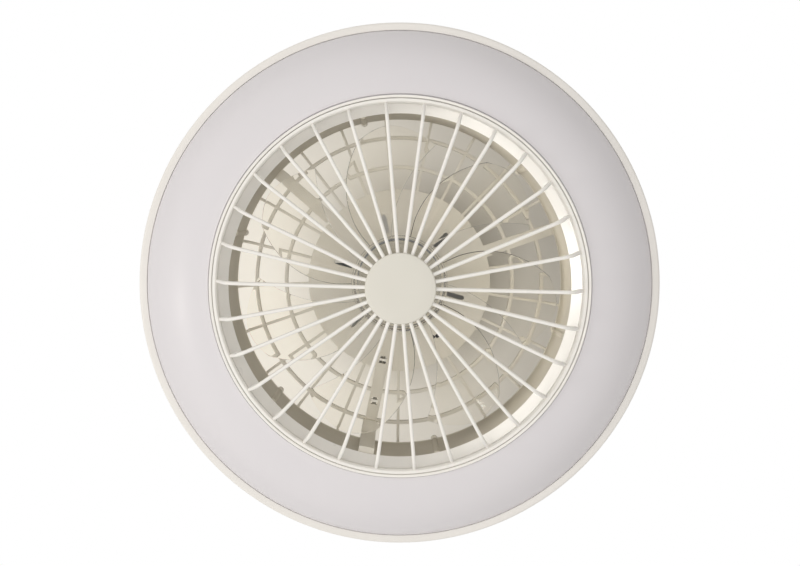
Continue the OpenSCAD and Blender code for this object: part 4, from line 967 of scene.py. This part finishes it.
def blade_point(u, v):
    """A point on the blade's middle sheet: u from hub to tip, v from trailing to leading edge."""
    tip = (blade_r - tail_cut * max(0, (tip_at - v) / tip_at) ** 2
           - nose_cut * max(0, (v - tip_at) / (1 - tip_at)) ** 1.6)
    r = root_r + (tip - root_r) * u
    trailing = tail_sweep * (max(0, r - straight_r) / (tail_r - straight_r)) ** 1.5
    leading = nose_start + nose_sweep * (r - nose_r) / (blade_r - nose_r)
    wide = math.radians(leading - trailing) * r
    span = max(0, (r - hub_r) / (blade_r - hub_r))
    pitch = math.radians(root_pitch - pitch_fall * span ** 0.8)
    drop = blade_drop - (v - 0.5) * wide * math.tan(pitch) - 4 * v * (1 - v) * wide * hollow
    turn = math.radians(trailing + v * (leading - trailing))
    return Vector((r * math.cos(turn), r * math.sin(turn), -drop)) * MM


only(None)
bpy.ops.mesh.primitive_grid_add(x_subdivisions=40, y_subdivisions=16, size=1)
blade = bpy.context.object
blade.name = "blade"
for vertex in blade.data.vertices:
    vertex.co = blade_point(vertex.co.x + 0.5, vertex.co.y + 0.5)
bpy.ops.object.modifier_add(type="SOLIDIFY")
solidify = blade.modifiers[-1]
solidify.thickness, solidify.offset, solidify.use_even_offset = 1.2 * MM, 0, True
bpy.ops.object.modifier_apply(modifier=solidify.name)
soften(blade, 0.4, limit=50)
bpy.ops.object.mode_set(mode="EDIT")
close_up(blade, smooth=50)
combine(hub, join(turned_copies(blade, every(7, 25.7))))
dress(hub, clear_plastic, "clear_plastic", "rotor", "impeller")

# %% [markdown]
# ## The canopy and the lead
#
# The canopy is a short tube that hides the wiring, with an inner flange for the guard's screws.
# The lead to the light ring leaves through a notch in it. The lead's CAD tube has eight flat
# sides, so a copy of it is merged and shaded round.

# %% Canopy
flange_in = canopy_r - 17
canopy = lathe("canopy_shell", [
    (canopy_r - 2, 0), (canopy_r, 0), (canopy_r, plate_top), (flange_in, plate_top),
    (flange_in, plate_top - 2.5), (canopy_r - 2, plate_top - 2.5)],
    rounded=[(canopy_r, plate_top, 0.5)])
notch = block("lead_notch", (21, 9, 7), ((flange_in + canopy_r) / 2, 0, plate_top - 2.5))
hole = pin("screw_hole", 1.9, plate_top - 4, plate_top + 1, at=(canopy_r - 11, 0))
openings = turned_copies(notch, [lead_arm]) + turned_copies(hole, every(4, 64))
combine(canopy, join(openings), "DIFFERENCE")
dress(canopy, white_abs, "white_plastic", "housing", "canopy")

# %% Lead
only(nodes["light_lead"])
bpy.ops.object.duplicate(linked=False)
lead = bpy.context.object
lead.name = lead.data.name = "round_lead"
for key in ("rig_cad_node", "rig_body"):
    del lead[key]
lead.parent = None
bpy.ops.object.mode_set(mode="EDIT")
bpy.ops.mesh.select_all(action="SELECT")
bpy.ops.mesh.remove_doubles(threshold=1e-5)
bpy.ops.object.mode_set(mode="OBJECT")
bpy.ops.object.shade_smooth_by_angle(angle=math.radians(60))
dress(lead, warm_pvc, "lead_jacket", "housing", "light_lead")

# %% [markdown]
# ## Ceiling, light and camera
#
# The fan hangs on a ceiling, which is the floor of this picture: the camera lies below and looks
# up. The ceiling shows through the duct, where it keeps the fan's shadows. Farther out it is
# plain white to the camera. Seen from above it is clear, so that other views aren't blocked.

# %% Where light comes from and where rays go
window_azimuth = 168    # degrees from +x: the side that the daylight comes from
window_height = 32      # degrees below the ceiling's plane


def from_side(azimuth, below):
    """A unit vector towards a light, given in degrees."""
    side, below = math.radians(azimuth), math.radians(below)
    level = math.cos(below)
    return Vector((level * math.cos(side), level * math.sin(side), -math.sin(below)))


def seen_rays(owner):
    """1 for rays seen straight, by reflection or through clear plastic."""
    path = add(owner, "LightPath").outputs
    rays = path["Is Camera Ray"]
    for kind in ("Is Glossy Ray", "Is Transmission Ray"):
        rays = add(owner, "Math", {0: rays, 1: path[kind]}, operation="MAXIMUM").outputs[0]
    return rays


# %% Ceiling
def ceiling_finish():
    mat = material("painted_ceiling")
    flat, radius = from_axis(mat)
    nap = bump(mat, noise(mat, 2), 0.3, 0.1)    # left by the paint roller
    paint = add(mat, "BsdfDiffuse", {"Color": srgb("#B6B1A6"), "Normal": nap})
    seen = seen_rays(mat)

    # Painted light: over the fan a glow, seen only straight, by reflection or through clear plastic,
    # stands for the window's light that comes in above the pan: more near the drum, and on its side
    way = add(mat, "VectorMath", {0: flat}, operation="NORMALIZE").outputs[0]
    facing = add(mat, "VectorMath", {0: way, 1: from_side(window_azimuth, 0)},
                 operation="DOT_PRODUCT").outputs["Value"]
    near_drum = add(mat, "MapRange", {0: radius, 1: 100 * MM, 2: 153 * MM, 3: 0.27, 4: 0.41}).outputs[0]
    painted_light_level = add(mat, "Math", {0: facing, 1: 0.21, 2: near_drum}, operation="MULTIPLY_ADD").outputs[0]
    painted_light_level = add(mat, "Math", {0: painted_light_level, 1: seen}, operation="MULTIPLY").outputs[0]
    painted_light_glow = add(mat, "Emission", {"Color": srgb("#FFFAF0"), "Strength": painted_light_level})
    lit = add(mat, "AddShader", {0: paint.outputs[0], 1: painted_light_glow.outputs[0]})

    outside = add(mat, "Math", {0: radius, 1: (duct_r + 20) * MM}, operation="GREATER_THAN").outputs[0]
    white = add(mat, "Math", {0: seen, 1: outside}, operation="MULTIPLY").outputs[0]
    plain = add(mat, "Emission", {"Color": (1, 1, 1, 1), "Strength": 1.0})
    front = add(mat, "MixShader", {0: white, 1: lit.outputs[0], 2: plain.outputs[0]})
    clear = add(mat, "BsdfTransparent")
    back = add(mat, "NewGeometry").outputs["Backfacing"]
    return finished(mat, add(mat, "MixShader", {0: back, 1: front.outputs[0], 2: clear.outputs[0]}))


# A hair above the fan's top face, so that the two don't flicker
only(None)
bpy.ops.mesh.primitive_plane_add(size=6, location=(0, 0, 0.0003))
ceiling = bpy.context.object
ceiling.name = "ceiling"
bpy.ops.object.mode_set(mode="EDIT")
bpy.ops.mesh.flip_normals()
bpy.ops.object.mode_set(mode="OBJECT")
ceiling.data.materials.append(ceiling_finish())

# %% World
window = from_side(window_azimuth, window_height)
world = bpy.data.worlds.new("soft_room")
bpy.context.scene.world = world
world.use_nodes = True
world.node_tree.nodes.clear()
direction = add(world, "TexCoord").outputs["Generated"]
towards = add(world, "VectorMath", {0: direction, 1: window}, operation="DOT_PRODUCT").outputs["Value"]
level = add(world, "MapRange", {0: towards, 1: -1.0, 2: 1.0, 3: 0.2, 4: 1.05}).outputs[0]
room = add(world, "Background", {"Color": srgb("#FFFDFA"), "Strength": level})
white = add(world, "Background", {"Color": (1, 1, 1, 1), "Strength": 1.0})
mixed = add(world, "MixShader", {0: seen_rays(world), 1: room.outputs[0], 2: white.outputs[0]})
add(world, "OutputWorld", {"Surface": mixed.outputs[0]})

# %% [markdown]
# The daylight comes from one side, low, through large windows. The world is brightest there and
# fades to the other side, which models the pan softly and casts no hard shadow. It reaches the
# far wall of the duct from below, so the near wall stays dark. A weak sun lamp from the same
# side adds a little shape, and a wide one stands for light that the floor throws up.

# %% Lamps
def sun(name, towards, energy, spread, colour):
    """A sun lamp in this direction; spread is its width in degrees."""
    bpy.ops.object.light_add(type="SUN", location=towards * 2)
    lamp = bpy.context.object
    lamp.name = name
    lamp.rotation_euler = (-towards).to_track_quat("-Z", "Y").to_euler()
    lamp.data.energy, lamp.data.angle = energy, math.radians(spread)
    lamp.data.color = srgb(colour)[:3]
    print(name, "from", [round(c, 2) for c in towards])
    return lamp


sun("window_daylight", window, 0.25, 10, "#FFFAF2")
sun("floor_bounce", from_side(0, 90), 0.4, 60, "#FFFBF4")

# A second window, just below the pan's height. Its light skims past the pan into the duct, so only
# the duct and the cage receive it: on the pan and the bars it would count twice
skimming = sun("skimming_daylight", from_side(172, 10), 4.6, 20, "#FFFEFC")
duct_parts = bpy.data.collections.new("duct_and_cage")
for obj in (funnel, drum, plate):
    duct_parts.objects.link(obj)
skimming.light_linking.receiver_collection = duct_parts

# %% [markdown]
# The camera looks straight up, and the fan hangs a little off its axis. The picture is framed by
# shifting the lens, as with a view camera, so the fan's circles stay circles.

# %% Camera
bpy.ops.object.camera_add(location=(-0.010, -0.067, -1.1), rotation=(math.pi, 0, 0))
camera = bpy.context.object
camera.data.sensor_width = 36
camera.data.lens = 42.66
camera.data.shift_x, camera.data.shift_y = 0.0123, -0.0798
bpy.context.scene.camera = camera
bpy.context.scene.view_settings.view_transform = "Standard"
print("camera at", [round(c, 3) for c in camera.location])
